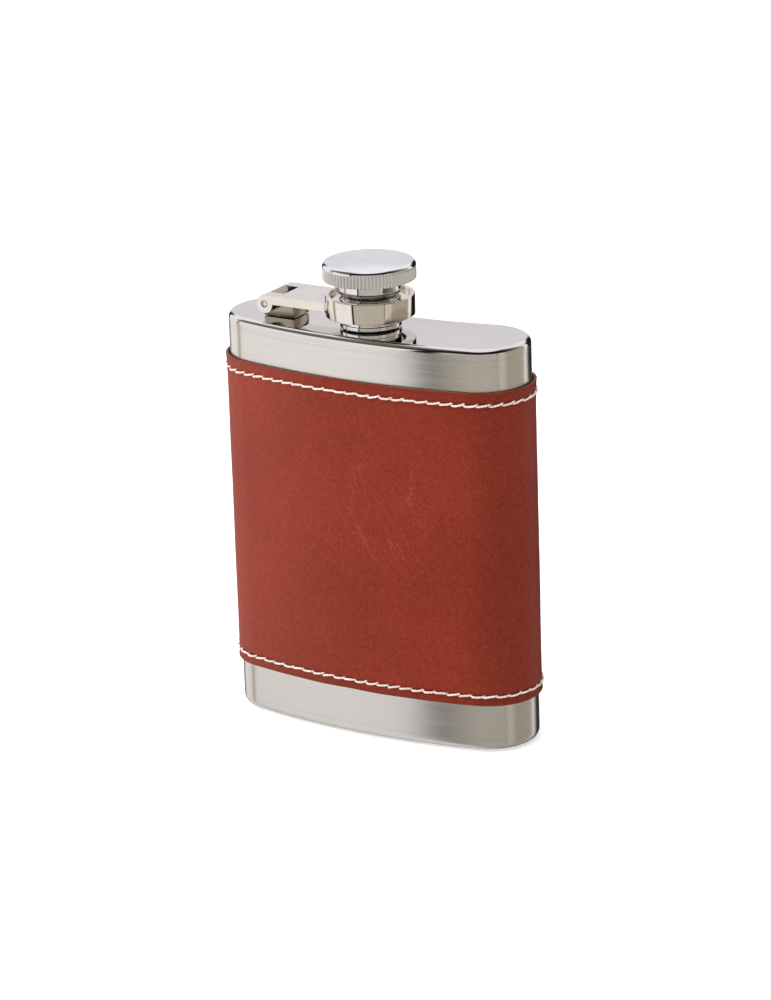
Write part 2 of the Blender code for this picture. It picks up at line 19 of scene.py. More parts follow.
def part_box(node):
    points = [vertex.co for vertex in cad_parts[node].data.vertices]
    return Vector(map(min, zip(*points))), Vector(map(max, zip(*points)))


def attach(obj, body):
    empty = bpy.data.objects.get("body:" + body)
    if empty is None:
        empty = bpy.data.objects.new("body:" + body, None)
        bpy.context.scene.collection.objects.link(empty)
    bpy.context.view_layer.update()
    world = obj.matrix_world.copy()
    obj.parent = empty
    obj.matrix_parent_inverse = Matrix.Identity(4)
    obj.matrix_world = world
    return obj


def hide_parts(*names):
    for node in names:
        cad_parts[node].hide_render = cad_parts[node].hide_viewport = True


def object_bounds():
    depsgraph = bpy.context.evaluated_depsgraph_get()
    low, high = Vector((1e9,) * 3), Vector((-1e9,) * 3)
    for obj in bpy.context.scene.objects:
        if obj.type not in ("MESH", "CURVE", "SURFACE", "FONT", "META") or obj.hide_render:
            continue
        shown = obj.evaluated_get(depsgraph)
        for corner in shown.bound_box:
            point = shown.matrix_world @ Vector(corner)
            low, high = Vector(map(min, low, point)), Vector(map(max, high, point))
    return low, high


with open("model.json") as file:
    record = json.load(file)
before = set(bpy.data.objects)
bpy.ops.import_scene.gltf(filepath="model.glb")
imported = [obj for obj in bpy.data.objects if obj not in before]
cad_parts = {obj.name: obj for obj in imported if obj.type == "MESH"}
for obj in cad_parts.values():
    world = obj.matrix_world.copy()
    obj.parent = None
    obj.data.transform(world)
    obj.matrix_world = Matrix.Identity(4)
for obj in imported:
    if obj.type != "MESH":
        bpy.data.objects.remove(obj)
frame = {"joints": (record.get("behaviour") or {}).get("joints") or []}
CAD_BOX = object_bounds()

log = logging.getLogger("hip_flask")

MM = 0.001

Pair = tuple[float, float]
Triple = tuple[float, float, float]
Colour = tuple[float, float, float, float]
Sample = tuple[Vector, Vector, float]
Node = bpy.types.Node
Socket = bpy.types.NodeSocket
Material = bpy.types.Material
Object = bpy.types.Object


def shade(red: int, green: int, blue: int) -> Colour:
    """Turns a display colour into the linear one that shaders take.

    Args:
        red, green, blue: Display values from 0 to 255.

    Returns:
        The linear colour with full opacity.
    """
    linear = []
    for part in (red, green, blue):
        value = part / 255.0
        linear.append(value / 12.92 if value <= 0.04045 else ((value + 0.055) / 1.055) ** 2.4)
    return (linear[0], linear[1], linear[2], 1.0)


def toned(colour: Colour, share: float) -> Colour:
    """The colour with its light multiplied by a share, no brighter than white."""
    red, green, blue = (min(1.0, part * share) for part in colour[:3])
    return (red, green, blue, 1.0)


def smooth_step(low: float, high: float, value: float) -> float:
    """Rises smoothly from 0 at low to 1 at high."""
    t = min(1.0, max(0.0, (value - low) / (high - low)))
    return t * t * (3.0 - 2.0 * t)


def bell(distance: float, width: float) -> float:
    """A bell curve that is 1 at no distance."""
    return math.exp(-((distance / width) ** 2))


class Slot(str, Enum):
    """The record's material slots."""

    BRUSHED = "brushed_steel"
    POLISHED = "polished_steel"
    NICKEL = "polished_nickel"
    CHROME = "cap_chrome"
    SILICONE = "silicone"
    LEATHER = "leather"
    THREAD = "waxed_thread"


class Body(str, Enum):
    """The bodies that the joints move."""

    FLASK = "flask"
    ARM = "arm"
    SEAL = "cap_seal"
    CAP = "cap"


# ---------------------------------------------------------------------------------------------------------
# Node trees
# ---------------------------------------------------------------------------------------------------------


class Graph:
    """Short calls for building any node tree."""

    def __init__(self, tree: bpy.types.NodeTree) -> None:
        """Takes the tree to fill."""
        self.tree = tree

    def add(self, kind: str, **settings: object) -> Node:
        """Adds a node and sets its properties.

        Args:
            kind: The node's type name.
            **settings: Properties of the node.

        Returns:
            The new node.
        """
        node = self.tree.nodes.new(kind)
        for name, value in settings.items():
            setattr(node, name, value)
        return node

    def put(self, socket: Socket, value: object) -> None:
        """Links an input to another node, or gives it a plain value.

        Args:
            socket: The input.
            value: An output socket or a plain value.
        """
        if isinstance(value, Socket):
            self.tree.links.new(value, socket)
        else:
            socket.default_value = value

    def feed(self, node: Node, **inputs: object) -> Node:
        """Sets or links a node's inputs by position, as i0, i1 and so on.

        Args:
            node: The node to feed.
            **inputs: Sockets or plain values.

        Returns:
            The same node.
        """
        for key, value in inputs.items():
            self.put(node.inputs[int(key[1:])], value)
        return node

    def wire(self, node: Node, **inputs: object) -> Node:
        """Sets or links a node's inputs by name, with _ for each space.

        Args:
            node: The node to feed.
            **inputs: Sockets or plain values.

        Returns:
            The same node.
        """
        for name, value in inputs.items():
            self.put(node.inputs[name.replace("_", " ")], value)
        return node

    def math(self, operation: str, *values: object) -> Socket:
        """One Math node on sockets or numbers, and its result.

        Args:
            operation: What the node does.
            *values: Its inputs in order.

        Returns:
            The result.
        """
        node = self.add("ShaderNodeMath", operation=operation)
        self.feed(node, **{f"i{i}": value for i, value in enumerate(values)})
        return node.outputs[0]

    def plus(self, first: object, second: object) -> Socket:
        """The sum of two sockets or numbers."""
        return self.math("ADD", first, second)

    def minus(self, first: object, second: object) -> Socket:
        """The difference of two sockets or numbers."""
        return self.math("SUBTRACT", first, second)

    def times(self, first: object, second: object) -> Socket:
        """The product of two sockets or numbers."""
        return self.math("MULTIPLY", first, second)

    def vector(self, operation: str, *values: object) -> Node:
        """One Vector Math node on sockets or vectors."""
        node = self.add("ShaderNodeVectorMath", operation=operation)
        return self.feed(node, **{f"i{i}": value for i, value in enumerate(values)})

    def ranged(
        self, value: object, low: object, high: object, to_low: float = 0.0, to_high: float = 1.0
    ) -> Socket:
        """A value taken smoothly from one range to another.

        Args:
            value: The value.
            low, high: Its range; low may be the greater.
            to_low, to_high: The results at low and at high.

        Returns:
            The result, held at the ends.
        """
        node = self.add("ShaderNodeMapRange", interpolation_type="SMOOTHSTEP")
        return self.feed(node, i0=value, i1=low, i2=high, i3=to_low, i4=to_high).outputs[0]

    def ramp(self, value: Socket, *stops: tuple[float, Colour]) -> Socket:
        """A colour ramp.

        Args:
            value: The value to colour, from 0 to 1.
            *stops: The value and the colour of each stop, in order.

        Returns:
            The colour.
        """
        node = self.feed(self.add("ShaderNodeValToRGB"), i0=value)
        band = node.color_ramp
        while len(band.elements) < len(stops):
            band.elements.new(0.5)
        for element, (at, colour) in zip(band.elements, stops):
            element.position = at
            element.color = colour
        return node.outputs[0]

    def mix(self, amount: object, first: object, second: object) -> Socket:
        """Two colours mixed; an amount of 0 gives the first and 1 the second."""
        node = self.add("ShaderNodeMix", data_type="RGBA")
        return self.feed(node, i0=amount, i6=first, i7=second).outputs[2]


class Paint(Graph):
    """A material's tree, around its Principled shader."""

    def __init__(self, name: str) -> None:
        """Makes the material and takes hold of its shader.

        Args:
            name: The material's name.
        """
        self.material = bpy.data.materials.new(name)
        self.material.use_nodes = True
        super().__init__(self.material.node_tree)
        self.shader = self.tree.nodes["Principled BSDF"]
        self.place = self.add("ShaderNodeTexCoord").outputs["Object"]

    def plain(self, **sockets: float) -> None:
        """Sets the shader's own sockets, whose names are given with _ for each space."""
        for name, value in sockets.items():
            self.shader.inputs[name.replace("_", " ")].default_value = value

    def drive(self, socket: str, source: Socket) -> None:
        """Links a pattern to one of the shader's sockets."""
        self.put(self.shader.inputs[socket], source)

    def stretched(
        self, scale: Triple, turn: Triple = (0.0, 0.0, 0.0), source: Socket | None = None
    ) -> Socket:
        """Coordinates scaled and turned for a pattern.

        Args:
            scale: The scale along each axis.
            turn: The turn about each axis in radians.
            source: The coordinates to start from, or the piece's own.

        Returns:
            The new coordinates.
        """
        node = self.add("ShaderNodeMapping")
        return self.feed(node, i0=source or self.place, i2=turn, i3=scale).outputs[0]

    def noise(self, where: Socket, scale: float, detail: float = 2.0, rough: float = 0.5) -> Socket:
        """A cloudy pattern from 0 to 1."""
        node = self.add("ShaderNodeTexNoise")
        return self.wire(node, Vector=where, Scale=scale, Detail=detail, Roughness=rough).outputs["Fac"]

    def cells(self, where: Socket, scale: float, feature: str = "F1") -> Socket:
        """A pattern of cells, as the distance that its feature measures."""
        node = self.add("ShaderNodeTexVoronoi", feature=feature)
        return self.wire(node, Vector=where, Scale=scale).outputs["Distance"]

    def bump(
        self, height: Socket, depth: float, strength: float = 1.0, over: Socket | None = None
    ) -> Socket:
        """Small relief in the surface.

        Args:
            height: The relief's height from 0 to 1.
            depth: The depth in metres; a negative one sinks it.
            strength: How much of the relief shows.
            over: An earlier relief that this one lies on.

        Returns:
            The normal.
        """
        node = self.wire(self.add("ShaderNodeBump"), Strength=strength, Distance=depth, Height=height)
        if over is not None:
            self.wire(node, Normal=over)
        return node.outputs[0]


class FormTree(Graph):
    """A Geometry Nodes tree with named inputs that ends by setting the material."""

    def __init__(self, name: str, sizes: dict[str, float]) -> None:
        """Makes the tree.

        Args:
            name: The tree's name.
            sizes: Each named input and its value.
        """
        tree = bpy.data.node_groups.new(name, "GeometryNodeTree")
        super().__init__(tree)
        self.sizes = sizes
        tree.interface.new_socket("Geometry", in_out="INPUT", socket_type="NodeSocketGeometry")
        tree.interface.new_socket("Geometry", in_out="OUTPUT", socket_type="NodeSocketGeometry")
        for label, value in sizes.items():
            kind = "NodeSocketInt" if isinstance(value, int) else "NodeSocketFloat"
            tree.interface.new_socket(label, in_out="INPUT", socket_type=kind)
        self.start = self.add("NodeGroupInput")

    def size(self, label: str) -> Socket:
        """The socket of a named input."""
        return self.start.outputs[label]

    def end(self, geometry: Socket, material: Material) -> None:
        """Realizes the result, shades it smooth and paints it.

        Args:
            geometry: The result.
            material: Its material.
        """
        real = self.feed(self.add("GeometryNodeRealizeInstances"), i0=geometry)
        shaded = self.feed(self.add("GeometryNodeSetShadeSmooth"), i0=real.outputs[0], i2=True)
        painted = self.add("GeometryNodeSetMaterial")
        self.wire(painted, Geometry=shaded.outputs[0], Material=material)
        self.feed(self.add("NodeGroupOutput"), i0=painted.outputs[0])

    def run_on(self, obj: Object) -> Object:
        """Applies the tree to an object and leaves a plain mesh.

        Args:
            obj: The object that the tree starts from; it is replaced.

        Returns:
            A new object of the same name with the tree's result.
        """
        modifier = obj.modifiers.new(self.tree.name, "NODES")
        modifier.node_group = self.tree
        for item in self.tree.interface.items_tree:
            if item.item_type == "SOCKET" and item.in_out == "INPUT" and item.name in self.sizes:
                modifier[item.identifier] = self.sizes[item.name]
        return plain_copy(obj)


# ---------------------------------------------------------------------------------------------------------
# Meshes
# ---------------------------------------------------------------------------------------------------------


def link(name: str, mesh: bpy.types.Mesh) -> Object:
    """Puts a mesh in the scene as an object at the origin.

    Args:
        name: The object's name.
        mesh: Its mesh.

    Returns:
        The object.
    """
    obj = bpy.data.objects.new(name, mesh)
    bpy.context.scene.collection.objects.link(obj)
    return obj


def plain_copy(obj: Object) -> Object:
    """Replaces an object that has modifiers by its evaluated mesh, under the same name.

    Args:
        obj: The object; it is used up.

    Returns:
        The plain object.
    """
    name = obj.name
    bpy.context.view_layer.update()
    result = obj.evaluated_get(bpy.context.evaluated_depsgraph_get())
    mesh = bpy.data.meshes.new_from_object(result)
    bpy.data.objects.remove(obj)
    mesh.name = name
    return link(name, mesh)


def soften(obj: Object, angle: float = 32.0) -> Object:
    """Shades an object smooth except at corners sharper than an angle in degrees.

    Args:
        obj: The object.
        angle: The sharpest angle that is still smooth, in degrees.

    Returns:
        The same object.
    """
    obj.data.shade_smooth()
    obj.data.set_sharp_from_angle(angle=math.radians(angle))
    return obj


def paint(obj: Object, material: Material) -> Object:
    """Gives an object its only material.

    Args:
        obj: The object.
        material: The material.

    Returns:
        The same object.
    """
    obj.data.materials.clear()
    obj.data.materials.append(material)
    return obj


def combine(obj: Object, other: Object, operation: str) -> Object:
    """Cuts, joins or intersects an object with another, which is used up.

    Args:
        obj: The object to change.
        other: The object to change it by.
        operation: DIFFERENCE, UNION or INTERSECT.

    Returns:
        The result, under the first name.
    """
    step = obj.modifiers.new(operation.lower(), "BOOLEAN")
    step.operation = operation
    step.solver = "EXACT"
    step.object = other
    result = plain_copy(obj)
    bpy.data.objects.remove(other)
    return result


def round_off(obj: Object, width: float, segments: int = 2) -> Object:
    """Rounds an object's sharp corners.

    Args:
        obj: The object.
        width: How far the rounding reaches from a corner.
        segments: Steps of each rounding.

    Returns:
        The result.
    """
    step = obj.modifiers.new("rounded", "BEVEL")
    step.width = width
    step.segments = segments
    step.limit_method = "ANGLE"
    step.angle_limit = math.radians(40.0)
    return plain_copy(obj)


def arc(centre: Pair, radius: float, start: float, end: float, steps: int) -> list[Pair]:
    """Points on an arc between two angles in radians, both ends included."""
    angles = [start + (end - start) * i / steps for i in range(steps + 1)]
    return [(centre[0] + radius * math.cos(a), centre[1] + radius * math.sin(a)) for a in angles]


def rounded_profile(corners: Sequence[tuple[float, float, float]], steps: int = 4) -> list[Pair]:
    """Rounds the corners of a closed section.

    Args:
        corners: (radius, height, rounding) of each corner in order.
        steps: Steps of each rounding.

    Returns:
        The section's points.
    """
    points: list[Pair] = []
    count = len(corners)
    for i, (x, y, rounding) in enumerate(corners):
        here = Vector((x, y))
        before = (Vector(corners[i - 1][:2]) - here).normalized()
        after = (Vector(corners[(i + 1) % count][:2]) - here).normalized()
        if rounding <= 0.0:
            points.append((x, y))
            continue
        half = before.angle(after) / 2.0
        reach = rounding / math.tan(half)
        middle = here + (before + after).normalized() * (rounding / math.sin(half))
        first = here + before * reach - middle
        last = here + after * reach - middle
        for step in range(steps + 1):
            spoke = first.slerp(last, step / steps) if first.angle(last) < math.pi - 1e-6 else first
            spoke = spoke.normalized() * rounding
            points.append((middle.x + spoke.x, middle.y + spoke.y))
    return points


def finer(points: Sequence[Pair], longest: float, closed: bool) -> list[Pair]:
    """Splits a section's long straights so that no stretch is longer than a limit.

    Args:
        points: The section's points.
        longest: The limit.
        closed: True if the last point joins the first.

    Returns:
        The points with the new ones between them.
    """
    result: list[Pair] = []
    pairs = list(zip(points, list(points[1:]) + [points[0]])) if closed else list(zip(points, points[1:]))
    for (x0, y0), (x1, y1) in pairs:
        count = max(1, math.ceil(math.hypot(x1 - x0, y1 - y0) / longest))
        result += [(x0 + (x1 - x0) * k / count, y0 + (y1 - y0) * k / count) for k in range(count)]
    return result if closed else result + [points[-1]]


def lofted(name: str, loops: Sequence[Sequence[Triple]], around: bool, along: bool) -> Object:
    """A surface through loops of equal length, with a map of its lengths.

    Args:
        name: The object's name.
        loops: Rows of points.
        around: True if each row closes on itself.
        along: True if the last row joins the first.

    Returns:
        The object, whose UV map holds the distance along a row and across the rows, in centimetres.
    """
    rows, columns = len(loops), len(loops[0])
    verts = [Vector(p) for row in loops for p in row]
    row_steps = rows if along else rows - 1
    column_steps = columns if around else columns - 1
    faces = []
    for r in range(row_steps):
        low, high = r * columns, ((r + 1) % rows) * columns
        for c in range(column_steps):
            d = (c + 1) % columns
            faces.append((low + c, low + d, high + d, high + c))
    mesh = bpy.data.meshes.new(name)
    mesh.from_pydata(verts, [], faces)
    along_row = [0.0]
    for c in range(column_steps):
        along_row.append(along_row[-1] + (verts[(c + 1) % columns] - verts[c]).length)
    across = [0.0]
    for r in range(row_steps):
        across.append(across[-1] + (verts[((r + 1) % rows) * columns] - verts[r * columns]).length)
    layer = mesh.uv_layers.new(name="lengths").data
    index = 0
    for r in range(row_steps):
        for c in range(column_steps):
            for dc, dr in ((0, 0), (1, 0), (1, 1), (0, 1)):
                layer[index].uv = (along_row[c + dc] * 100.0, across[r + dr] * 100.0)
                index += 1
    return link(name, mesh)


@contextmanager
def opened(obj: Object) -> Iterator[bmesh.types.BMesh]:
    """Opens an object's mesh for editing, and writes it back at the end.

    Args:
        obj: The object.

    Yields:
        Its mesh, with its points in their old order.
    """
    shape = bmesh.new()
    shape.from_mesh(obj.data)
    shape.verts.ensure_lookup_table()
    yield shape
    shape.to_mesh(obj.data)
    shape.free()


def face_out(obj: Object) -> Object:
    """Turns a closed body's faces outwards.

    Args:
        obj: The body.

    Returns:
        The same object.
    """
    with opened(obj) as shape:
        bmesh.ops.recalc_face_normals(shape, faces=shape.faces)
    return obj


def turned(
    name: str, section: Sequence[Pair], middle: Vector, steps: int, solid: bool = False
) -> Object:
    """A body turned about a vertical axis.

    Args:
        name: The object's name.
        section: (radius, height above middle) points of a closed ring's section, or, with solid, of an
            outline from the top of the axis to its bottom.
        middle: The point on the axis that heights are measured from.
        steps: Steps round the axis.
        solid: True if the section starts and ends on the axis.

    Returns:
        The closed body.
    """
    points = list(section[1:-1]) if solid else list(section)
    loops = []
    for radius, height in points:
        row = arc((middle.x, middle.y), radius, 0.0, 2.0 * math.pi, steps)[:-1]
        loops.append([(x, y, middle.z + height) for x, y in row])
    obj = lofted(name, loops, around=True, along=not solid)
    if solid:
        ends = ((0, section[0][1]), ((len(points) - 1) * steps, section[-1][1]))
        with opened(obj) as shape:
            rims = [([shape.verts[first + i] for i in range(steps)], height) for first, height in ends]
            for rim, height in rims:
                tip = shape.verts.new((middle.x, middle.y, middle.z + height))
                for i in range(steps):
                    shape.faces.new((rim[i], rim[(i + 1) % steps], tip))
    return face_out(obj)


def prism(name: str, outline: Sequence[Pair], low: float, high: float, place: Matrix) -> Object:
    """An outline drawn out between two heights, then placed.

    Args:
        name: The object's name.
        outline: The outline's points in order.
        low, high: Where the prism starts and ends along the outline's normal.
        place: Takes the prism to its place.

    Returns:
        The closed body.
    """
    shape = bmesh.new()
    floor = shape.faces.new([shape.verts.new((x, y, low)) for x, y in outline])
    lifted = bmesh.ops.extrude_face_region(shape, geom=[floor])["geom"]
    top = [v for v in lifted if isinstance(v, bmesh.types.BMVert)]
    bmesh.ops.translate(shape, verts=top, vec=(0.0, 0.0, high - low))
    bmesh.ops.transform(shape, matrix=place, verts=shape.verts)
    mesh = bpy.data.meshes.new(name)
    shape.to_mesh(mesh)
    shape.free()
    return face_out(link(name, mesh))


def place_piece(obj: Object, body: Body, slot: Slot, *nodes: str) -> None:
    """Hands a finished piece to its body and hides the nodes of the frame that it stands for.

    Args:
        obj: The piece.
        body: The body that it rides on.
        slot: Its material slot; not used.
        *nodes: The nodes of the frame that it replaces.
    """
    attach(obj, body.value)
    if nodes:
        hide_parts(*nodes)
    log.info("%s rides on %s: %d faces", obj.name, body.value, len(obj.data.polygons))


# ---------------------------------------------------------------------------------------------------------
# Finishes
# ---------------------------------------------------------------------------------------------------------


@dataclass(frozen=True)
class BrushedSteel:
    """Steel with fine brushing round the flask, polished above a height, with painted shade that darkens it
    towards the bottom.
    """

    tint: Colour = shade(232, 229, 226)
    shine_from: float = 1.0
    shine_over: float = 0.25 * MM
    shine_roughness: float = 0.045
    roughness: float = 0.26
    # height below which painted shade darkens the steel, most at the bottom
    low_shade_top: float = 45.0 * MM

    def build(self, name: str) -> Material:
        """Makes the material.

        Args:
            name: The material's name.

        Returns:
            The material.
        """
        p = Paint(name)
        p.plain(Metallic=1.0, Anisotropic=0.75, Anisotropic_Rotation=0.25)
        tangent = p.add("ShaderNodeTangent", direction_type="UV_MAP", uv_map="lengths")
        p.drive("Tangent", tangent.outputs[0])
        lines = p.noise(p.stretched((60.0, 60.0, 9000.0)), 1.0, 3.0, 0.65)
        broad = p.noise(p.stretched((25.0, 25.0, 1600.0)), 1.0, 2.0)
        clouds = p.noise(p.place, 90.0, 3.0)
        mixed = p.plus(p.times(lines, 0.6), p.times(broad, 0.4))
        dark, light = toned(self.tint, 0.86), toned(self.tint, 1.06)
        colour = p.ramp(mixed, (0.25, dark), (0.6, self.tint), (0.85, light))
        height = p.feed(p.add("ShaderNodeSeparateXYZ"), i0=p.place).outputs[2]
        polish = p.ranged(height, self.shine_from, self.shine_from + self.shine_over)
        # painted shade: below a height the steel is mixed towards a darker tint, more so towards the bottom
        foot = p.ranged(height, self.low_shade_top, 0.0, 0.0, 0.5)
        colour = p.mix(foot, colour, toned(self.tint, 0.72))
        worn = p.plus(p.times(mixed, 0.16), p.times(clouds, 0.08))
        rough = p.plus(worn, self.roughness - 0.12)
        keep = p.minus(1.0, polish)
        rough = p.plus(p.times(rough, keep), p.times(polish, self.shine_roughness))
        p.drive("Base Color", colour)
        p.drive("Roughness", rough)
        relief = p.times(mixed, keep)
        p.drive("Normal", p.bump(relief, 0.003 * MM, 0.4))
        return p.material


@dataclass(frozen=True)
class MirrorMetal:
    """Polished or plated metal with faint waviness, haze and fine scratches."""

    tint: Colour
    roughness: float = 0.05
    haze: float = 0.05
    wave: float = 0.02 * MM
    scratch: float = 0.002 * MM

    def build(self, name: str) -> Material:
        """Makes the material.

        Args:
            name: The material's name.

        Returns:
            The material.
        """
        p = Paint(name)
        p.plain(Metallic=1.0)
        clouds = p.noise(p.place, 220.0, 4.0, 0.6)
        waves = p.noise(p.place, 130.0, 1.0)
        marks = p.noise(p.stretched((260.0, 4200.0, 2100.0), (0.3, 0.7, 0.5)), 1.0, 3.0, 0.7)
        p.drive("Base Color", p.ramp(clouds, (0.3, toned(self.tint, 0.93)), (0.6, self.tint)))
        haze = p.times(p.ranged(clouds, 0.45, 0.8), self.haze)
        grain = p.times(p.ranged(marks, 0.62, 0.8), 0.06)
        rough = p.plus(p.plus(haze, grain), self.roughness)
        p.drive("Roughness", rough)
        wavy = p.bump(waves, self.wave, 0.5)
        p.drive("Normal", p.bump(marks, self.scratch, 0.5, over=wavy))
        return p.material


@dataclass(frozen=True)
class RussetLeather:
    """Smooth dyed leather with a fine grain, mottling and a few pale creases, darker where it was cut, with
    painted shade along the stitch rows and in the stitch holes.
    """

    deep: Colour = shade(106, 26, 9)
    base: Colour = shade(125, 37, 15)
    pale: Colour = shade(143, 53, 28)
    crease: Colour = shade(166, 84, 60)
    edge: Colour = shade(104, 92, 74)
    # the colour of the painted shade in the stitch holes
    hole: Colour = shade(70, 24, 14)
    roughness: float = 0.46
    creased_at: Triple = (10.0 * MM, -11.0 * MM, 52.0 * MM)

    def build(self, name: str) -> Material:
        """Makes the material.

        Args:
            name: The material's name.

        Returns:
            The material.
        """
        p = Paint(name)
        p.plain(IOR=1.45, Specular_IOR_Level=0.22, Sheen_Weight=0.02, Sheen_Roughness=0.4)
        broad = p.noise(p.place, 40.0, 2.0, 0.5)
        patches = p.noise(p.place, 1200.0, 4.0, 0.65)
        leaning = p.stretched((1.0, 1.0, 1.0), (0.0, 0.25, 0.0))
        fibres = p.noise(p.stretched((3000.0, 3000.0, 1500.0), source=leaning), 1.0, 3.0, 0.7)
        tone = p.plus(p.times(broad, 0.2), p.times(patches, 0.3))
        tone = p.plus(tone, p.times(fibres, 0.5))
        colour = p.ramp(tone, (0.36, self.deep), (0.5, self.base), (0.68, self.pale))
        pores = p.cells(p.place, 1700.0)
        wrinkle = p.cells(p.place, 620.0, "SMOOTH_F1")
        colour = p.mix(p.times(p.ranged(pores, 0.28, 0.05), 0.35), colour, self.deep)
        lines = self._creases(p)
        colour = p.mix(p.times(lines, 0.32), colour, self.crease)
        wear = p.add("ShaderNodeAttribute", attribute_name="wear").outputs["Color"]
        cut, stitch_hole_shade, burnished = p.feed(p.add("ShaderNodeSeparateColor"), i0=wear).outputs
        # painted shade: darkens the leather along each stitch row, most at the stitch holes
        colour = p.mix(p.times(stitch_hole_shade, 0.8), colour, self.hole)
        colour = p.mix(p.times(burnished, 0.5), colour, self.deep)
        colour = p.mix(cut, colour, self.edge)
        p.drive("Base Color", colour)
        rough = p.plus(p.times(patches, 0.16), self.roughness - 0.1)
        rough = p.plus(rough, p.times(cut, 0.25))
        p.drive("Roughness", p.plus(rough, p.times(pores, 0.06)))
        soft = p.bump(patches, 0.05 * MM, 0.35)
        soft = p.bump(wrinkle, 0.06 * MM, 0.5, over=soft)
        soft = p.bump(lines, -0.06 * MM, 0.6, over=soft)
        p.drive("Normal", p.bump(pores, 0.03 * MM, 0.4, over=soft))
        return p.material

    def _creases(self, p: Paint) -> Socket:
        """Thin slanting creases that fade out round one patch of the front.

        Args:
            p: The material's tree.

        Returns:
            The creases' strength from 0 to 1.
        """
        leaning = p.stretched((1.0, 1.0, 1.0), (0.0, 0.62, 0.0))
        waves = p.noise(p.stretched((210.0, 20.0, 38.0), source=leaning), 1.0)
        thin = p.ranged(p.math("ABSOLUTE", p.minus(waves, 0.5)), 0.014, 0.0)
        small = p.cells(p.stretched((1150.0, 1150.0, 620.0), source=leaning), 1.0, "DISTANCE_TO_EDGE")
        patchy = p.ranged(p.noise(p.place, 160.0), 0.45, 0.7, 0.0, 0.8)
        thin = p.math("MAXIMUM", thin, p.times(p.ranged(small, 0.07, 0.0), patchy))
        where = p.vector("SUBTRACT", p.place, self.creased_at).outputs[0]
        oval = p.vector("MULTIPLY", where, (55.0, 30.0, 40.0)).outputs[0]
        near = p.ranged(p.vector("LENGTH", oval).outputs["Value"], 1.0, 0.15)
        return p.times(thin, near)


@dataclass(frozen=True)
class WaxedThread:
    """Pale waxed thread with its fibres laid along the ply."""

    pale: Colour = shade(240, 226, 220)
    dark: Colour = shade(208, 182, 172)

    def build(self, name: str) -> Material:
        """Makes the material.

        Args:
            name: The material's name.

        Returns:
            The material.
        """
        p = Paint(name)
        p.plain(IOR=1.45, Sheen_Weight=0.3, Sheen_Roughness=0.4)
        fibres = p.noise(p.stretched((2600.0, 2600.0, 9000.0)), 1.0, 3.0, 0.6)
        soil = p.noise(p.place, 420.0, 2.0)
        tone = p.plus(p.times(fibres, 0.6), p.times(soil, 0.4))
        p.drive("Base Color", p.ramp(tone, (0.3, self.dark), (0.62, self.pale)))
        p.drive("Roughness", p.plus(p.times(fibres, 0.2), 0.6))
        p.drive("Normal", p.bump(fibres, 0.04 * MM, 0.6))
        return p.material


@dataclass(frozen=True)
class Silicone:
    """Matt moulded rubber."""

    tint: Colour = shade(214, 212, 206)

    def build(self, name: str) -> Material:
        """Makes the material.

        Args:
            name: The material's name.

        Returns:
            The material.
        """
        p = Paint(name)
        p.plain(IOR=1.42)
        grain = p.noise(p.place, 3000.0, 2.0)
        stain = p.noise(p.place, 300.0, 3.0)
        p.drive("Base Color", p.ramp(stain, (0.35, toned(self.tint, 0.8)), (0.65, self.tint)))
        p.drive("Roughness", p.plus(p.times(grain, 0.2), 0.45))
        p.drive("Normal", p.bump(grain, 0.02 * MM, 0.4))
        return p.material


# ---------------------------------------------------------------------------------------------------------
# Sub-assemblies
# ---------------------------------------------------------------------------------------------------------


@dataclass(frozen=True)
class Arc:
    """One arc of the plan outline; side is 1 if its outer side faces away from the centre, else -1."""

    centre: Pair
    radius: float
    start: float
    end: float
    side: int


@dataclass(frozen=True)
class Outline:
    """The flask's plan: round ends, a convex front and a concave back; it starts at the back's middle."""

    width: float
    end_radius: float = 10.3 * MM
    front_radius: float = 128.0 * MM
    back_radius: float = 100.0 * MM

    def arcs(self) -> list[Arc]:
        """The outline's arcs in anticlockwise order.

        Returns:
            The five arcs, the first and last of which meet at the middle of the back.
        """
        end_x = self.width / 2 - self.end_radius
        front_reach = math.sqrt((self.front_radius - self.end_radius) ** 2 - end_x**2)
        back_reach = math.sqrt((self.back_radius + self.end_radius) ** 2 - end_x**2)
        end_y = (self.front_radius - front_reach - self.end_radius) / 2
        front_lean = math.atan2(end_x, front_reach)
        back_lean = math.atan2(end_x, back_reach)
        front = (0.0, end_y + front_reach)
        back = (0.0, end_y + back_reach)
        quarter = math.pi / 2
        return [
            Arc(back, self.back_radius, -quarter, -quarter - back_lean, -1),
            Arc((-end_x, end_y), self.end_radius, quarter - back_lean, 3 * quarter - front_lean, 1),
            Arc(front, self.front_radius, -quarter - front_lean, -quarter + front_lean, 1),
            Arc((end_x, end_y), self.end_radius, -quarter + front_lean, quarter + back_lean, 1),
            Arc(back, self.back_radius, -quarter + back_lean, -quarter, -1),
        ]

    def samples(self, spacing: float) -> list[Sample]:
        """Points along the outline.

        Args:
            spacing: The longest step between points.

        Returns:
            (point, outward normal, distance from the start) for each point, the last at the start again.
        """
        result: list[Sample] = []
        travelled = 0.0
        for part in self.arcs():
            length = abs(part.end - part.start) * part.radius
            steps = max(2, math.ceil(length / spacing))
            for i in range(steps + 1):
                if i == 0 and result:
                    continue
                a = part.start + (part.end - part.start) * i / steps
                spoke = Vector((math.cos(a), math.sin(a)))
                point = Vector(part.centre) + spoke * part.radius
                result.append((point, spoke * part.side, travelled + length * i / steps))
            travelled += length
        return result

    def loop(self, spacing: float, offset: float, height: float) -> list[Triple]:
        """The closed outline moved outwards and lifted to a height."""
        return [(*(point + normal * offset), height) for point, normal, _ in self.samples(spacing)[:-1]]


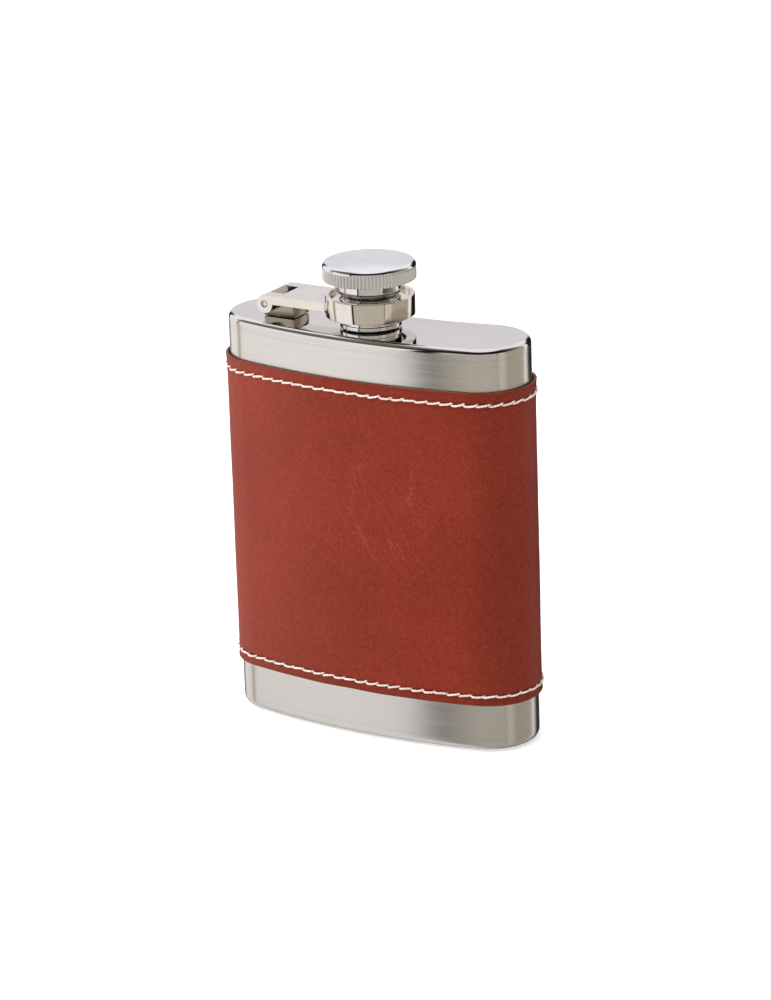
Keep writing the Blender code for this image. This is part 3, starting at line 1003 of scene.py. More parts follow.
@dataclass
class FlaskBody:
    """The rolled wall between a polished top plate and a brushed base."""

    outline: Outline
    steel: Material
    top_steel: Material
    wall: float = 0.6 * MM
    spacing: float = 0.5 * MM
    top_rounding: float = 1.3 * MM
    base_rounding: float = 1.6 * MM
    seam_rounding: float = 0.012 * MM
    seam: float = 0.003 * MM
    hole_radius: float = 4.85 * MM
    hole_steps: int = 96
    rounding_steps: int = 8
    low: Vector = field(default_factory=lambda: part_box("body_wall")[0])
    high: Vector = field(default_factory=lambda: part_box("body_wall")[1])

    def build(self) -> None:
        """Builds the three pieces of the body."""
        foot, wall_low = (corner.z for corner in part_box("bottom_plate"))
        wall_high, face = (corner.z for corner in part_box("top_plate"))
        self._wall(wall_low + self.seam, wall_high - self.seam)
        self._tray("polished_top", "top_plate", wall_high, face, self.top_rounding)
        self._tray("brushed_base", "bottom_plate", wall_low, foot, self.base_rounding)

    def _wall(self, low: float, high: float) -> None:
        """The wall, open at both ends.

        Args:
            low, high: The heights of its ends.
        """
        r = self.seam_rounding
        section = [
            (-self.wall, high),
            (-r, high),
            (0.0, high - r),
            (0.0, high - 4 * r),
            (0.0, low + 4 * r),
            (0.0, low + r),
            (-r, low),
            (-self.wall, low),
        ]
        loops = [self.outline.loop(self.spacing, offset, height) for offset, height in section]
        piece = paint(soften(face_out(lofted("rolled_wall", loops, True, True)), 50.0), self.steel)
        place_piece(piece, Body.FLASK, Slot.BRUSHED, "body_wall")

    def _tray(self, name: str, node: str, rim: float, face: float, rounding: float) -> None:
        """A plate with a rim that meets the wall.

        Args:
            name: The piece's name.
            node: The node that it stands for.
            rim: The height of the rim's edge.
            face: The height of the outer flat face.
            rounding: The outer rounding between the two.
        """
        way = 1.0 if face > rim else -1.0
        inner = rounding - self.wall
        r = self.seam_rounding
        support = 0.15 * MM
        outer = arc((-rounding, 0.0), rounding, 0.0, math.pi / 2, self.rounding_steps)
        inside = arc((-rounding, 0.0), inner, math.pi / 2, 0.0, self.rounding_steps)
        section = [(-rounding - support, -self.wall)]
        section += [(x, y - rounding) for x, y in inside]
        section = [(x, face + way * y) for x, y in section]
        section += [(-self.wall, rim), (-r, rim), (0.0, rim + way * r), (0.0, rim + way * 4 * r)]
        section += [(x, face + way * (y - rounding)) for x, y in outer]
        section += [(-rounding - support, face)]
        loops = [self.outline.loop(self.spacing, offset, height) for offset, height in section]
        piece = lofted(name, loops, True, False)
        self._close(piece, len(loops[0]), len(loops), node == "top_plate")
        is_top = node == "top_plate"
        paint(soften(face_out(piece), 50.0), self.top_steel if is_top else self.steel)
        place_piece(piece, Body.FLASK, Slot.POLISHED if is_top else Slot.BRUSHED, node)

    def _close(self, piece: Object, columns: int, rows: int, has_hole: bool) -> None:
        """Closes both flat faces of a plate, round the neck's hole if it has one.

        Args:
            piece: The plate, open in the middle of both faces.
            columns, rows: The size of its grid.
            has_hole: True for the top plate.
        """
        firsts = (0, (rows - 1) * columns)
        corners = [(first + i, first + (i + 1) % columns) for first in firsts for i in range(columns)]
        with opened(piece) as shape:
            edges = [shape.edges.get((shape.verts[a], shape.verts[b])) for a, b in corners]
            rims = [edges[:columns], edges[columns:]]
            if has_hole:
                self._fill_round_hole(shape, rims)
            else:
                for rim in rims:
                    bmesh.ops.edgeloop_fill(shape, edges=rim)

    def _fill_round_hole(self, shape: bmesh.types.BMesh, rims: list[list[bmesh.types.BMEdge]]) -> None:
        """Closes both faces of the top plate round the neck's hole, and lines the hole.

        Args:
            shape: The plate's mesh.
            rims: The open rim of each face.
        """
        centre, steps = neck_axis(), self.hole_steps
        plan = arc((centre.x, centre.y), self.hole_radius, 0.0, 2.0 * math.pi, steps)[:-1]
        rings = []
        for rim in rims:
            height = rim[0].verts[0].co.z
            ring = [shape.verts.new((x, y, height)) for x, y in plan]
            edges = [shape.edges.new((ring[i], ring[(i + 1) % steps])) for i in range(steps)]
            bmesh.ops.triangle_fill(shape, use_beauty=True, edges=rim + edges)
            rings.append(ring)
        lower, upper = rings
        for i in range(steps):
            j = (i + 1) % steps
            shape.faces.new((lower[i], lower[j], upper[j], upper[i]))


def neck_axis() -> Vector:
    """The point where the neck's axis meets the top plate's face."""
    low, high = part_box("neck")
    return Vector(((low.x + high.x) / 2, (low.y + high.y) / 2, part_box("top_plate")[1].z))


@dataclass
class LeatherWrap:
    """The leather sheet round the body, with its dips along the stitching and its slightly lifted edges."""

    outline: Outline
    leather: Material
    glue: float = 0.1 * MM
    thickness: float = 0.6 * MM
    spacing: float = 0.45 * MM
    row_step: float = 0.5 * MM
    seam: float = 0.3 * MM
    stitch_pitch: float = 2.62 * MM
    groove: float = 0.13 * MM
    waviness: float = 0.05 * MM
    fine_waviness: float = 0.02 * MM
    raggedness: float = 0.1 * MM
    edge_rounding: float = 0.16 * MM
    edge_break: float = 0.05 * MM
    lift_reach: float = 1.3 * MM
    ends_from: Pair = (24.0 * MM, 34.0 * MM)
    low: float = field(default_factory=lambda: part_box("leather_wrap")[0].z)
    high: float = field(default_factory=lambda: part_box("leather_wrap")[1].z)

    def __post_init__(self) -> None:
        """Takes the heights of the two rows of stitches from the frame."""
        rows = [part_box("top_stitching"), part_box("bottom_stitching")]
        self.stitch_heights = [(low.z + high.z) / 2 for low, high in rows]

    def surface(self, point: Vector, height: float, along: float) -> float:
        """How far the leather's face stands off the steel.

        Args:
            point: The place on the plan outline.
            height: The height.
            along: The distance along the outline.

        Returns:
            The offset from the steel.
        """
        where = Vector((point.x, point.y, height))
        offset = self.glue + self.thickness
        offset += self.waviness * noise.noise(where * 70.0)
        offset += self.fine_waviness * noise.noise(where * 260.0)
        for row in self.stitch_heights:
            near = bell(height - row, 0.55 * MM)
            pucker = 0.75 + 0.25 * math.cos(2.0 * math.pi * along / self.stitch_pitch)
            offset -= self.groove * near * pucker
            offset += 0.05 * MM * bell(abs(height - row) - 1.1 * MM, 0.5 * MM)
        return offset + self.lift(point, height)

    def lift(self, point: Vector, height: float) -> float:
        """How far the sheet's cut edges lift off the steel, most of all round the ends.

        Args:
            point: The place on the plan outline.
            height: The height.

        Returns:
            The lift.
        """
        at_end = smooth_step(*self.ends_from, abs(point.x))
        edge = math.exp((height - self.high) / self.lift_reach)
        edge += 0.6 * math.exp((self.low - height) / self.lift_reach)
        return (0.05 + 0.22 * at_end) * MM * edge

    def build(self) -> None:
        """Builds the sheet as one closed body."""
        samples = self.outline.samples(self.spacing)
        total = samples[-1][2]
        kept = [s for s in samples if self.seam / 2 < s[2] < total - self.seam / 2]
        loops = [self._section(point, normal, along) for point, normal, along in kept]
        piece = lofted("leather_sheet", loops, True, False)
        self._cap_ends(piece, len(loops[0]), len(loops))
        self._mark_wear_and_hole_shade(piece, kept, len(loops[0]))
        paint(soften(face_out(piece), 60.0), self.leather)
        place_piece(piece, Body.FLASK, Slot.LEATHER, "leather_wrap")

    def _section(self, point: Vector, normal: Vector, along: float) -> list[Triple]:
        """The sheet's section at one place round the body.

        Args:
            point: The place on the plan outline.
            normal: The outward direction there.
            along: The distance along the outline.

        Returns:
            The section's points, up the outer face and down the inner one.
        """
        ragged_top = noise.noise(Vector((along * 130.0, 3.0, 0.0)))
        ragged_low = noise.noise(Vector((along * 130.0, 9.0, 0.0)))
        top = self.high + self.raggedness * (ragged_top - 1.2)
        bottom = self.low + self.raggedness * (0.8 * ragged_low + 1.0)
        rounding, edge_break = self.edge_rounding, self.edge_break
        count = round((self.high - self.low) / self.row_step)
        face_low, face_span = bottom + rounding, top - bottom - 2 * rounding
        heights = [face_low + face_span * i / count for i in range(count + 1)]
        section = [(self.surface(point, height, along), height) for height in heights]
        outer_top = self.surface(point, top, along)
        outer_low = self.surface(point, bottom, along)
        section += [(outer_top - edge_break, top - edge_break), (outer_top - rounding, top)]
        for share in (1.0, 0.985, 0.965, 0.5, 0.035, 0.015, 0.0):
            height = bottom + (top - bottom) * share
            section.append((self.glue + self.lift(point, height), height))
        section += [(outer_low - rounding, bottom), (outer_low - edge_break, bottom + edge_break)]
        return [(*(point + normal * offset), height) for offset, height in section]

    def _cap_ends(self, piece: Object, columns: int, rows: int) -> None:
        """Closes the two butted ends of the sheet.

        Args:
            piece: The sheet.
            columns, rows: The size of its grid.
        """
        with opened(piece) as shape:
            for first in (0, (rows - 1) * columns):
                shape.faces.new([shape.verts[first + i] for i in range(columns)])

    def _mark_wear_and_hole_shade(self, piece: Object, kept: list[Sample], columns: int) -> None:
        """Stores where the sheet is cut (red), where painted shade darkens the stitch holes (green) and
        where it is burnished (blue).

        Args:
            piece: The sheet.
            kept: The places round the body where it has a row of points.
            columns: How many points each row has.
        """
        layer = piece.data.attributes.new("wear", "FLOAT_COLOR", "POINT")
        for row, (_, _, along) in enumerate(kept):
            phase = math.cos(2.0 * math.pi * along / self.stitch_pitch)
            hole = 0.45 + 0.55 * smooth_step(0.5, 1.0, phase)
            for column in range(columns):
                vertex = piece.data.vertices[row * columns + column].co
                edge = min(self.high - vertex.z, vertex.z - self.low)
                cut = 1.0 - smooth_step(0.04 * MM, 0.2 * MM, edge)
                burnish = bell(edge - 0.3 * MM, 1.0 * MM)
                # painted shade along each stitch row, strongest at the holes
                stitch_hole_shade = hole * sum(bell(vertex.z - at, 0.42 * MM) for at in self.stitch_heights)
                layer.data[row * columns + column].color = (cut, min(1.0, stitch_hole_shade), burnish, 1.0)


@dataclass
class StitchRow:
    """One row of slanted two-ply stitches, laid end over end round the leather."""

    outline: Outline
    wrap: LeatherWrap
    thread: Material
    name: str
    node: str
    height: float
    seed: int
    ply_radius: float = 0.15 * MM
    twist_radius: float = 0.1 * MM
    twists: float = 2.2
    slant: float = 0.2 * MM
    rise: float = 0.24 * MM
    sink: float = 0.28 * MM
    ply_steps: int = 18
    ply_sides: int = 7
    jitter: Triple = (0.5, 0.05, 0.09)

    def build(self) -> None:
        """Lays the row."""
        offset = self.wrap.glue + self.wrap.thickness
        path = self.outline.loop(0.5 * MM, offset, self.height)
        mesh = bpy.data.meshes.new(self.name)
        mesh.from_pydata(path, [(i, (i + 1) % len(path)) for i in range(len(path))], [])
        total = self.outline.samples(0.5 * MM)[-1][2]
        tree = self._tree(round(total / self.wrap.stitch_pitch))
        piece = tree.run_on(link(self.name, mesh))
        place_piece(piece, Body.FLASK, Slot.THREAD, self.node)

    def _tree(self, count: int) -> FormTree:
        """The tree that lays stitches along a path.

        Args:
            count: How many stitches go round.

        Returns:
            The tree.
        """
        sizes = {
            "Stitches": count,
            "Length": 1.16 * self.wrap.stitch_pitch,
            "Slant": self.slant,
            "Rise": self.rise,
            "Ply radius": self.ply_radius,
            "Twist radius": self.twist_radius,
            "Twists": self.twists,
            "Seed": self.seed,
        }
        t = FormTree(self.name, sizes)
        curve = t.feed(t.add("GeometryNodeMeshToCurve"), i0=t.start.outputs["Geometry"]).outputs[0]
        spaced = t.wire(t.add("GeometryNodeResampleCurve"), Curve=curve, Count=t.size("Stitches"))
        tangent = t.add("GeometryNodeInputTangent").outputs[0]
        out = t.vector("CROSS_PRODUCT", tangent, (0.0, 0.0, 1.0)).outputs[0]
        turn = t.add("FunctionNodeAxesToRotation", primary_axis="X", secondary_axis="Z")
        t.feed(turn, i0=tangent, i1=out)
        jitter = t.add("FunctionNodeRandomValue", data_type="FLOAT_VECTOR")
        t.feed(jitter, i0=tuple(-angle for angle in self.jitter), i1=self.jitter)
        t.wire(jitter, Seed=t.size("Seed"))
        tilt = t.feed(t.add("FunctionNodeEulerToRotation"), i0=jitter.outputs[0])
        spun = t.add("FunctionNodeRotateRotation", rotation_space="LOCAL")
        t.feed(spun, i0=turn.outputs[0], i1=tilt.outputs[0])
        plies = t.add("GeometryNodeJoinGeometry")
        for phase in (0.0, math.pi):
            t.feed(plies, i0=self._ply(t, phase))
        laid = t.add("GeometryNodeInstanceOnPoints")
        t.wire(laid, Points=spaced.outputs[0], Instance=plies.outputs[0], Rotation=spun.outputs[0])
        t.end(laid.outputs[0], self.thread)
        return t

    def _ply(self, t: FormTree, phase: float) -> Socket:
        """One ply of a stitch, which twists about the stitch's arched line.

        Args:
            t: The row's tree.
            phase: The ply's angle about the line.

        Returns:
            The ply's mesh.
        """
        line = t.wire(t.add("GeometryNodeCurvePrimitiveLine"), End=(1.0, 0.0, 0.0))
        steps = t.add("GeometryNodeResampleCurve")
        t.wire(steps, Curve=line.outputs[0], Count=self.ply_steps)
        part = t.add("GeometryNodeSplineParameter").outputs["Factor"]
        centred = t.minus(part, 0.5)
        angle = t.plus(t.times(t.times(part, t.size("Twists")), 2.0 * math.pi), phase)
        arch = t.minus(1.0, t.math("POWER", t.math("ABSOLUTE", t.times(centred, 2.0)), 3.0))
        spread = t.times(t.size("Twist radius"), t.math("POWER", arch, 0.3))
        across = t.times(spread, t.math("COSINE", angle))
        across = t.plus(across, t.times(centred, t.times(t.size("Slant"), 2.0)))
        up = t.times(spread, t.math("SINE", angle))
        lifted = t.times(arch, t.size("Rise"))
        sunk = t.times(t.minus(1.0, arch), -self.sink)
        up = t.plus(up, t.plus(lifted, sunk))
        where = t.add("ShaderNodeCombineXYZ")
        t.feed(where, i0=t.times(centred, t.size("Length")), i1=across, i2=up)
        bent = t.add("GeometryNodeSetPosition")
        t.wire(bent, Geometry=steps.outputs[0], Position=where.outputs[0])
        thin = t.add("GeometryNodeSetCurveRadius")
        t.wire(thin, Curve=bent.outputs[0], Radius=t.plus(0.55, t.times(arch, 0.45)))
        ring = t.add("GeometryNodeCurvePrimitiveCircle")
        t.wire(ring, Resolution=self.ply_sides, Radius=t.size("Ply radius"))
        body = t.add("GeometryNodeCurveToMesh")
        t.wire(body, Curve=thin.outputs[0], Profile_Curve=ring.outputs[0], Fill_Caps=True)
        return body.outputs[0]


class RidgeForm(FormTree):
    """Ridges round an axis: straight ones make a knurl, and ones that climb make a screw thread."""

    def __init__(self, name: str, axis: Vector, sizes: dict[str, float], material: Material) -> None:
        """Makes the tree.

        Args:
            name: The tree's name.
            axis: A point on the axis.
            sizes: Starts, Climb, Sharpness, Depth, Low, High, Fade, Inside and Outside.
            material: The result's material.
        """
        super().__init__(name, sizes)
        place = self.add("GeometryNodeInputPosition").outputs[0]
        spoke = self.vector("SUBTRACT", place, axis).outputs[0]
        parts = self.feed(self.add("ShaderNodeSeparateXYZ"), i0=spoke).outputs
        flat = self.feed(self.add("ShaderNodeCombineXYZ"), i0=parts[0], i1=parts[1], i2=0.0).outputs[0]
        radius = self.vector("LENGTH", flat).outputs["Value"]
        turns = self.math("DIVIDE", self.math("ARCTAN2", parts[1], parts[0]), 2.0 * math.pi)
        climb = self.times(parts[2], self.size("Climb"))
        phase = self.plus(self.times(turns, self.size("Starts")), climb)
        wave = self.math("COSINE", self.times(phase, 2.0 * math.pi))
        ridge = self.math("POWER", self.times(self.plus(wave, 1.0), 0.5), self.size("Sharpness"))
        low, high, fade = self.size("Low"), self.size("High"), self.size("Fade")
        rising = self.ranged(parts[2], low, self.plus(low, fade))
        falling = self.ranged(parts[2], high, self.minus(high, fade))
        beyond = self.math("GREATER_THAN", radius, self.size("Inside"))
        within = self.math("LESS_THAN", radius, self.size("Outside"))
        mask = self.times(self.times(rising, falling), self.times(beyond, within))
        lift = self.times(self.times(ridge, mask), self.size("Depth"))
        out = self.vector("NORMALIZE", flat).outputs[0]
        push = self.wire(self.vector("SCALE", out), Scale=lift)
        moved = self.add("GeometryNodeSetPosition")
        self.wire(moved, Geometry=self.start.outputs["Geometry"], Offset=push.outputs[0])
        self.end(moved.outputs[0], material)


@dataclass
class Neck:
    """The threaded neck."""

    metal: Material
    bore: float = 4.1 * MM
    root: float = 4.75 * MM
    crest: float = 0.3 * MM
    pitch: float = 1.25 * MM
    flange: float = 1.85 * MM
    thread_low: float = 1.6 * MM
    thread_high: float = 6.1 * MM
    thread_fade: float = 0.5 * MM
    low: float = field(default_factory=lambda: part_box("neck")[0].z - neck_axis().z)
    high: float = field(default_factory=lambda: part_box("neck")[1].z - neck_axis().z)

    def build(self) -> None:
        """Turns the neck and cuts its thread."""
        step_high = self.low + 0.8 * MM
        section = rounded_profile(
            [
                (self.bore, self.high, 0.2 * MM),
                (self.root, self.high, 0.25 * MM),
                (self.root, step_high, 0.0),
                (self.root + self.flange, step_high, 0.1 * MM),
                (self.root + self.flange, self.low, 0.1 * MM),
                (self.bore, self.low, 0.1 * MM),
            ]
        )
        section = finer(section, 0.1 * MM, True)
        base = turned("threaded_neck", section, neck_axis(), 120)
        sizes = {
            "Starts": -1.0,
            "Climb": 1.0 / self.pitch,
            "Sharpness": 1.6,
            "Depth": self.crest,
            "Low": self.thread_low,
            "High": self.thread_high,
            "Fade": self.thread_fade,
            "Inside": self.root - 0.1 * MM,
            "Outside": self.root + 0.3 * MM,
        }
        piece = RidgeForm("neck_thread", neck_axis(), sizes, self.metal).run_on(base)
        place_piece(soften(piece, 50.0), Body.FLASK, Slot.POLISHED, "neck")


@dataclass
class HingeArm:
    """The cast arm with its ring, the bracket that it turns on, and the pin."""

    nickel: Material
    # a darker copy of the nickel: painted shade for the bracket under the arm
    painted_shade_nickel: Material
    pin_steel: Material
    thickness: float = 1.9 * MM
    fillet: float = 1.5 * MM
    edge: float = 0.16 * MM
    bracket_edge: float = 0.18 * MM
    slot_width: float = 5.9 * MM
    slot_reach: float = 3.4 * MM
    ring_rim: float = 0.95 * MM
    recess: float = 1.0 * MM
    flange: float = 1.1 * MM
    bore: float = 6.29 * MM
    undercut: float = 7.24 * MM
    ring_height: float = 4.4 * MM
    pin_radius: float = 0.6 * MM
    pin_fit: float = 0.14 * MM
    pin_sunk: float = 0.1 * MM
    cut_through: float = 9.0 * MM
    ear_radius: float = 1.95 * MM
    steps: int = 160

    def __post_init__(self) -> None:
        """Takes the places that follow from the frame."""
        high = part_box("cap_arm")[1]
        self.axis = neck_axis()
        self.ring_high = high.z - self.axis.z
        self.ring_low = self.ring_high - self.ring_height
        self.ring_radius = high.x - self.axis.x
        swing = next(j for j in frame["joints"] if j["name"] == "arm_swing")
        self.hinge = Vector(swing["pos_m"])
        pin_low, pin_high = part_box("hinge_pin")
        self.half_width = (pin_high.y - pin_low.y) / 2 + self.pin_sunk

    def build(self) -> None:
        """Builds the three pieces."""
        self._arm()
        self._bracket()
        self._pin()

    def _across(self) -> Matrix:
        """Stands a flat outline up so that it faces along Y, at the hinge."""
        return Matrix.Translation(self.hinge) @ Matrix.Rotation(math.pi / 2, 4, "X")

    def _rod(self, radius: float, half_length: float, name: str) -> Object:
        """A rod along the hinge's axis."""
        outline = arc((0.0, 0.0), radius, 0.0, 2.0 * math.pi, 48)[:-1]
        return prism(name, outline, -half_length, half_length, self._across())

    def _drilled(self, body: Object) -> Object:
        """The body with the pin's hole through it."""
        hole = self._rod(self.pin_radius + self.pin_fit, self.cut_through, "hole")
        return combine(body, hole, "DIFFERENCE")

    def _ring(self) -> Object:
        """The ring, with its recess above and its undercut below.

        Returns:
            The closed ring.
        """
        floor = self.ring_high - self.recess
        under = floor - self.flange
        rim = self.ring_radius - self.ring_rim
        section = rounded_profile(
            [
                (rim, self.ring_high, 0.14 * MM),
                (self.ring_radius, self.ring_high, 0.2 * MM),
                (self.ring_radius, self.ring_low, 0.2 * MM),
                (self.undercut, self.ring_low, 0.1 * MM),
                (self.undercut, under, 0.1 * MM),
                (self.bore, under, 0.1 * MM),
                (self.bore, floor, 0.2 * MM),
                (rim, floor, 0.1 * MM),
            ]
        )
        return turned("ring_arm", section, self.axis, self.steps)

    def _strap(self) -> Object:
        """The strap with its two ears, shaped from the side and from above.

        Returns:
            The closed strap, whose end lies inside the ring.
        """
        ear = self.ear_radius
        reach = (self.axis.x - self.hinge.x) - (self.undercut + self.ring_radius) / 2 + 1.5 * MM
        side = [(reach, ear), (reach, ear - self.thickness)]
        lean = math.asin((ear - self.thickness) / ear)
        side += arc((0.0, 0.0), ear, lean, -1.5 * math.pi, 40)
        body = prism("strap", side, -8.0 * MM, 8.0 * MM, self._across())
        half = self.half_width
        sunk = self.ring_radius - 0.03 * MM
        fillet_x = -math.sqrt((sunk + self.fillet) ** 2 - (half + self.fillet) ** 2)
        meets = math.atan2(half + self.fillet, fillet_x) - math.pi
        corner = arc((fillet_x, half + self.fillet), self.fillet, -math.pi / 2, meets, 12)
        inner = (self.undercut + self.ring_radius) / 2
        lean = math.atan2(corner[-1][1], corner[-1][0])
        back = arc((0.0, 0.0), inner, lean, 2.0 * math.pi - lean, 24)
        far = self.hinge.x - self.axis.x - 4.0 * MM
        plan = [(far, half)] + corner + back + [(x, -y) for x, y in reversed(corner)] + [(far, -half)]
        place = Matrix.Translation(Vector((self.axis.x, self.axis.y, self.hinge.z)))
        body = combine(body, prism("plan", plan, -6.0 * MM, 6.0 * MM, place), "INTERSECT")
        far, near = -4.0 * MM, self.slot_reach
        slot = [(far, far), (near, far), (near, -far), (far, -far)]
        window = prism("window", slot, -self.slot_width / 2, self.slot_width / 2, self._across())
        body = combine(body, window, "DIFFERENCE")
        return round_off(self._drilled(body), self.edge, 3)

    def _arm(self) -> None:
        """Joins the strap to the ring."""
        piece = combine(self._ring(), self._strap(), "UNION")
        paint(soften(piece, 28.0), self.nickel)
        place_piece(piece, Body.ARM, Slot.NICKEL, "cap_arm")

    def _bracket(self) -> None:
        """The knuckle and the foot that runs from it under the arm, in a darker copy of the nickel that
        paints the shade under the arm.
        """
        low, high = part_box("hinge_bracket")
        knuckle = self.hinge.x - low.x
        foot_low = low.z - self.hinge.z
        foot_high = self.ear_radius - self.thickness - 0.5 * MM
        foot_end = high.x - self.hinge.x
        corner = 1.1 * MM
        side = [(-knuckle, foot_low), (foot_end, foot_low)]
        side += arc((foot_end - corner, foot_high - corner), corner, 0.0, math.pi / 2, 8)
        side += arc((0.0, 0.0), knuckle, math.asin(foot_high / knuckle), math.pi, 32)
        half = (high.y - low.y) / 2
        body = prism("hinge_knuckle", side, -half, half, self._across())
        piece = round_off(self._drilled(body), self.bracket_edge, 3)
        # painted shade: the bracket takes a darker, rougher copy of the nickel for the shade under the arm
        paint(soften(piece, 35.0), self.painted_shade_nickel)
        place_piece(piece, Body.FLASK, Slot.NICKEL, "hinge_bracket")

    def _pin(self) -> None:
        """The pin, with its ends dished by the riveting punch."""
        half = self.half_width - self.pin_sunk
        r = self.pin_radius
        dish = ((0.0, 0.1), (0.35, 0.09), (0.62, 0.01), (0.8, 0.0), (0.95, 0.04), (1.0, 0.14))
        section = [(share * r, half - depth * MM) for share, depth in dish]
        section += [(radius, -height) for radius, height in reversed(section)]
        body = turned("riveted_pin", section, Vector((0.0, 0.0, 0.0)), 40, solid=True)
        body.data.transform(self._across())
        paint(soften(body, 40.0), self.pin_steel)
        place_piece(body, Body.ARM, Slot.POLISHED, "hinge_pin")


@dataclass
class ScrewCap:
    """The knurled shell, the insert that fills it, the threaded sleeve and the seal."""

    chrome: Material
    rubber: Material
    ridges: int = 80
    knurl_depth: float = 0.4 * MM
    shoulder: float = 1.0 * MM
    shell_wall: float = 0.6 * MM
    pitch: float = 1.25 * MM
    sleeve_wall: float = 0.45 * MM
    thread_depth: float = 0.22 * MM
    thread_low: float = 1.4 * MM
    thread_high: float = 6.0 * MM
    thread_fade: float = 0.5 * MM
    flange_step: float = 0.35 * MM
    flange_height: float = 0.9 * MM
    waist_bottom: float = 7.5 * MM

    def __post_init__(self) -> None:
        """Takes the places that follow from the frame."""
        self.axis = neck_axis()
        low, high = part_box("cap_shell")
        self.radius = (high.x - low.x) / 2
        self.head_low = low.z - self.axis.z
        self.head_high = high.z - self.axis.z

    def build(self) -> None:
        """Builds the four pieces."""
        self._shell()
        self._insert()
        self._sleeve()
        self._seal()

    def _shell(self) -> None:
        """The head: a shallow dome, a rounded shoulder and a knurled band."""
        r = self.radius
        band_high = self.head_high - 1.1 * MM
        crown = r - self.shoulder
        rise = self.head_high - band_high - self.shoulder * 0.62
        sphere = (crown**2 + rise**2) / (2 * rise)
        dome = []
        for i in range(25):
            x = crown * i / 24
            dome.append((x, self.head_high - sphere + math.sqrt(sphere**2 - x**2)))
        turn = math.asin(crown / sphere)
        bend = arc((r - self.shoulder, 0.0), self.shoulder, math.pi / 2 - turn, 0.0, 10)
        drop = dome[-1][1] - bend[0][1]
        section = dome + [(x, y + drop) for x, y in bend[1:]]
        inner = r - self.knurl_depth - self.shell_wall
        lip = 0.2 * MM
        section += [(r, self.head_low + lip), (r - 0.06 * MM, self.head_low + 0.06 * MM)]
        ceiling = band_high - 0.3 * MM
        section += [(r - lip, self.head_low), (inner, self.head_low), (inner, ceiling), (0.0, ceiling)]
        head = finer(section[:-3], 0.14 * MM, False) + section[-3:]
        base = turned("knurled_cap", head, self.axis, self.ridges * 10, solid=True)
        top = section[len(dome) + 8][1]
        sizes = {
            "Starts": float(self.ridges),
            "Climb": 0.0,
            "Sharpness": 1.3,
            "Depth": -self.knurl_depth,
            "Low": self.head_low - 1.0 * MM,
            "High": top,
            "Fade": 0.45 * MM,
            "Inside": r - 0.45 * MM,
            "Outside": r + 1.0 * MM,
        }
        piece = RidgeForm("knurl", self.axis, sizes, self.chrome).run_on(base)
        place_piece(soften(piece, 55.0), Body.CAP, Slot.CHROME, "cap_shell")

    def _insert(self) -> None:
        """The turned waist that fills the head and holds the sleeve."""
        low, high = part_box("cap_core")
        disc = (high.x - low.x) / 2
        waist = (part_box("cap_sleeve")[1].x - self.axis.x) - self.flange_step + 0.5 * MM
        socket = waist - 0.4 * MM
        top = high.z - self.axis.z
        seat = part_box("cap_gasket")[1].z - self.axis.z + 0.1 * MM
        socket_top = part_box("cap_sleeve")[1].z - self.axis.z + 0.1 * MM
        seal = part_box("cap_gasket")[1].x - self.axis.x
        disc_low = self.head_low + 0.1 * MM
        outer = rounded_profile(
            [
                (disc, top, 0.1 * MM),
                (disc, disc_low, 0.1 * MM),
                (waist, disc_low, 0.3 * MM),
                (waist, self.waist_bottom, 0.25 * MM),
                (socket, self.waist_bottom, 0.06 * MM),
                (socket, socket_top, 0.06 * MM),
                (seal, socket_top, 0.06 * MM),
                (seal, seat, 0.06 * MM),
                (0.0, seat, 0.0),
                (0.0, top, 0.0),
            ]
        )
        section = [outer[-1]] + outer[:-1]
        piece = turned("cap_insert", section, self.axis, 160, solid=True)
        paint(soften(piece, 28.0), self.chrome)
        place_piece(piece, Body.CAP, Slot.CHROME, "cap_core")

    def _sleeve(self) -> None:
        """The sleeve that passes through the ring, threaded inside, with the flange that keeps it there."""
        low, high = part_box("cap_sleeve")
        flange = high.x - self.axis.x
        outer = flange - self.flange_step
        bore = outer - self.sleeve_wall
        bottom, top = low.z - self.axis.z, high.z - self.axis.z
        ledge = bottom + self.flange_height
        section = rounded_profile(
            [
                (bore, top, 0.05 * MM),
                (outer, top, 0.05 * MM),
                (outer, ledge, 0.08 * MM),
                (flange, ledge, 0.12 * MM),
                (flange, bottom, 0.18 * MM),
                (bore, bottom, 0.12 * MM),
            ]
        )
        base = turned("threaded_sleeve", finer(section, 0.1 * MM, True), self.axis, 120)
        sizes = {
            "Starts": -1.0,
            "Climb": 1.0 / self.pitch,
            "Sharpness": 1.6,
            "Depth": -self.thread_depth,
            "Low": self.thread_low,
            "High": self.thread_high,
            "Fade": self.thread_fade,
            "Inside": bore - 0.3 * MM,
            "Outside": bore + 0.1 * MM,
        }
        piece = RidgeForm("sleeve_thread", self.axis, sizes, self.chrome).run_on(base)
        place_piece(soften(piece, 50.0), Body.CAP, Slot.CHROME, "cap_sleeve")

    def _seal(self) -> None:
        """The seal, with the ring that the neck has pressed into it."""
        low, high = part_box("cap_gasket")
        r = (high.x - low.x) / 2
        bottom, top = low.z - self.axis.z, high.z - self.axis.z
        dent = 0.06 * MM
        edge = 0.1 * MM
        section = [(0.0, top), (r - edge, top), (r, top - edge), (r, bottom + edge), (r - edge, bottom)]
        section += [(4.8 * MM, bottom), (4.7 * MM, bottom + dent)]
        section += [(4.2 * MM, bottom + dent), (4.1 * MM, bottom), (0.0, bottom)]
        piece = turned("seal_disc", section, self.axis, 96, solid=True)
        paint(soften(piece, 40.0), self.rubber)
        place_piece(piece, Body.SEAL, Slot.SILICONE, "cap_gasket")


# ---------------------------------------------------------------------------------------------------------
# Studio
# ---------------------------------------------------------------------------------------------------------


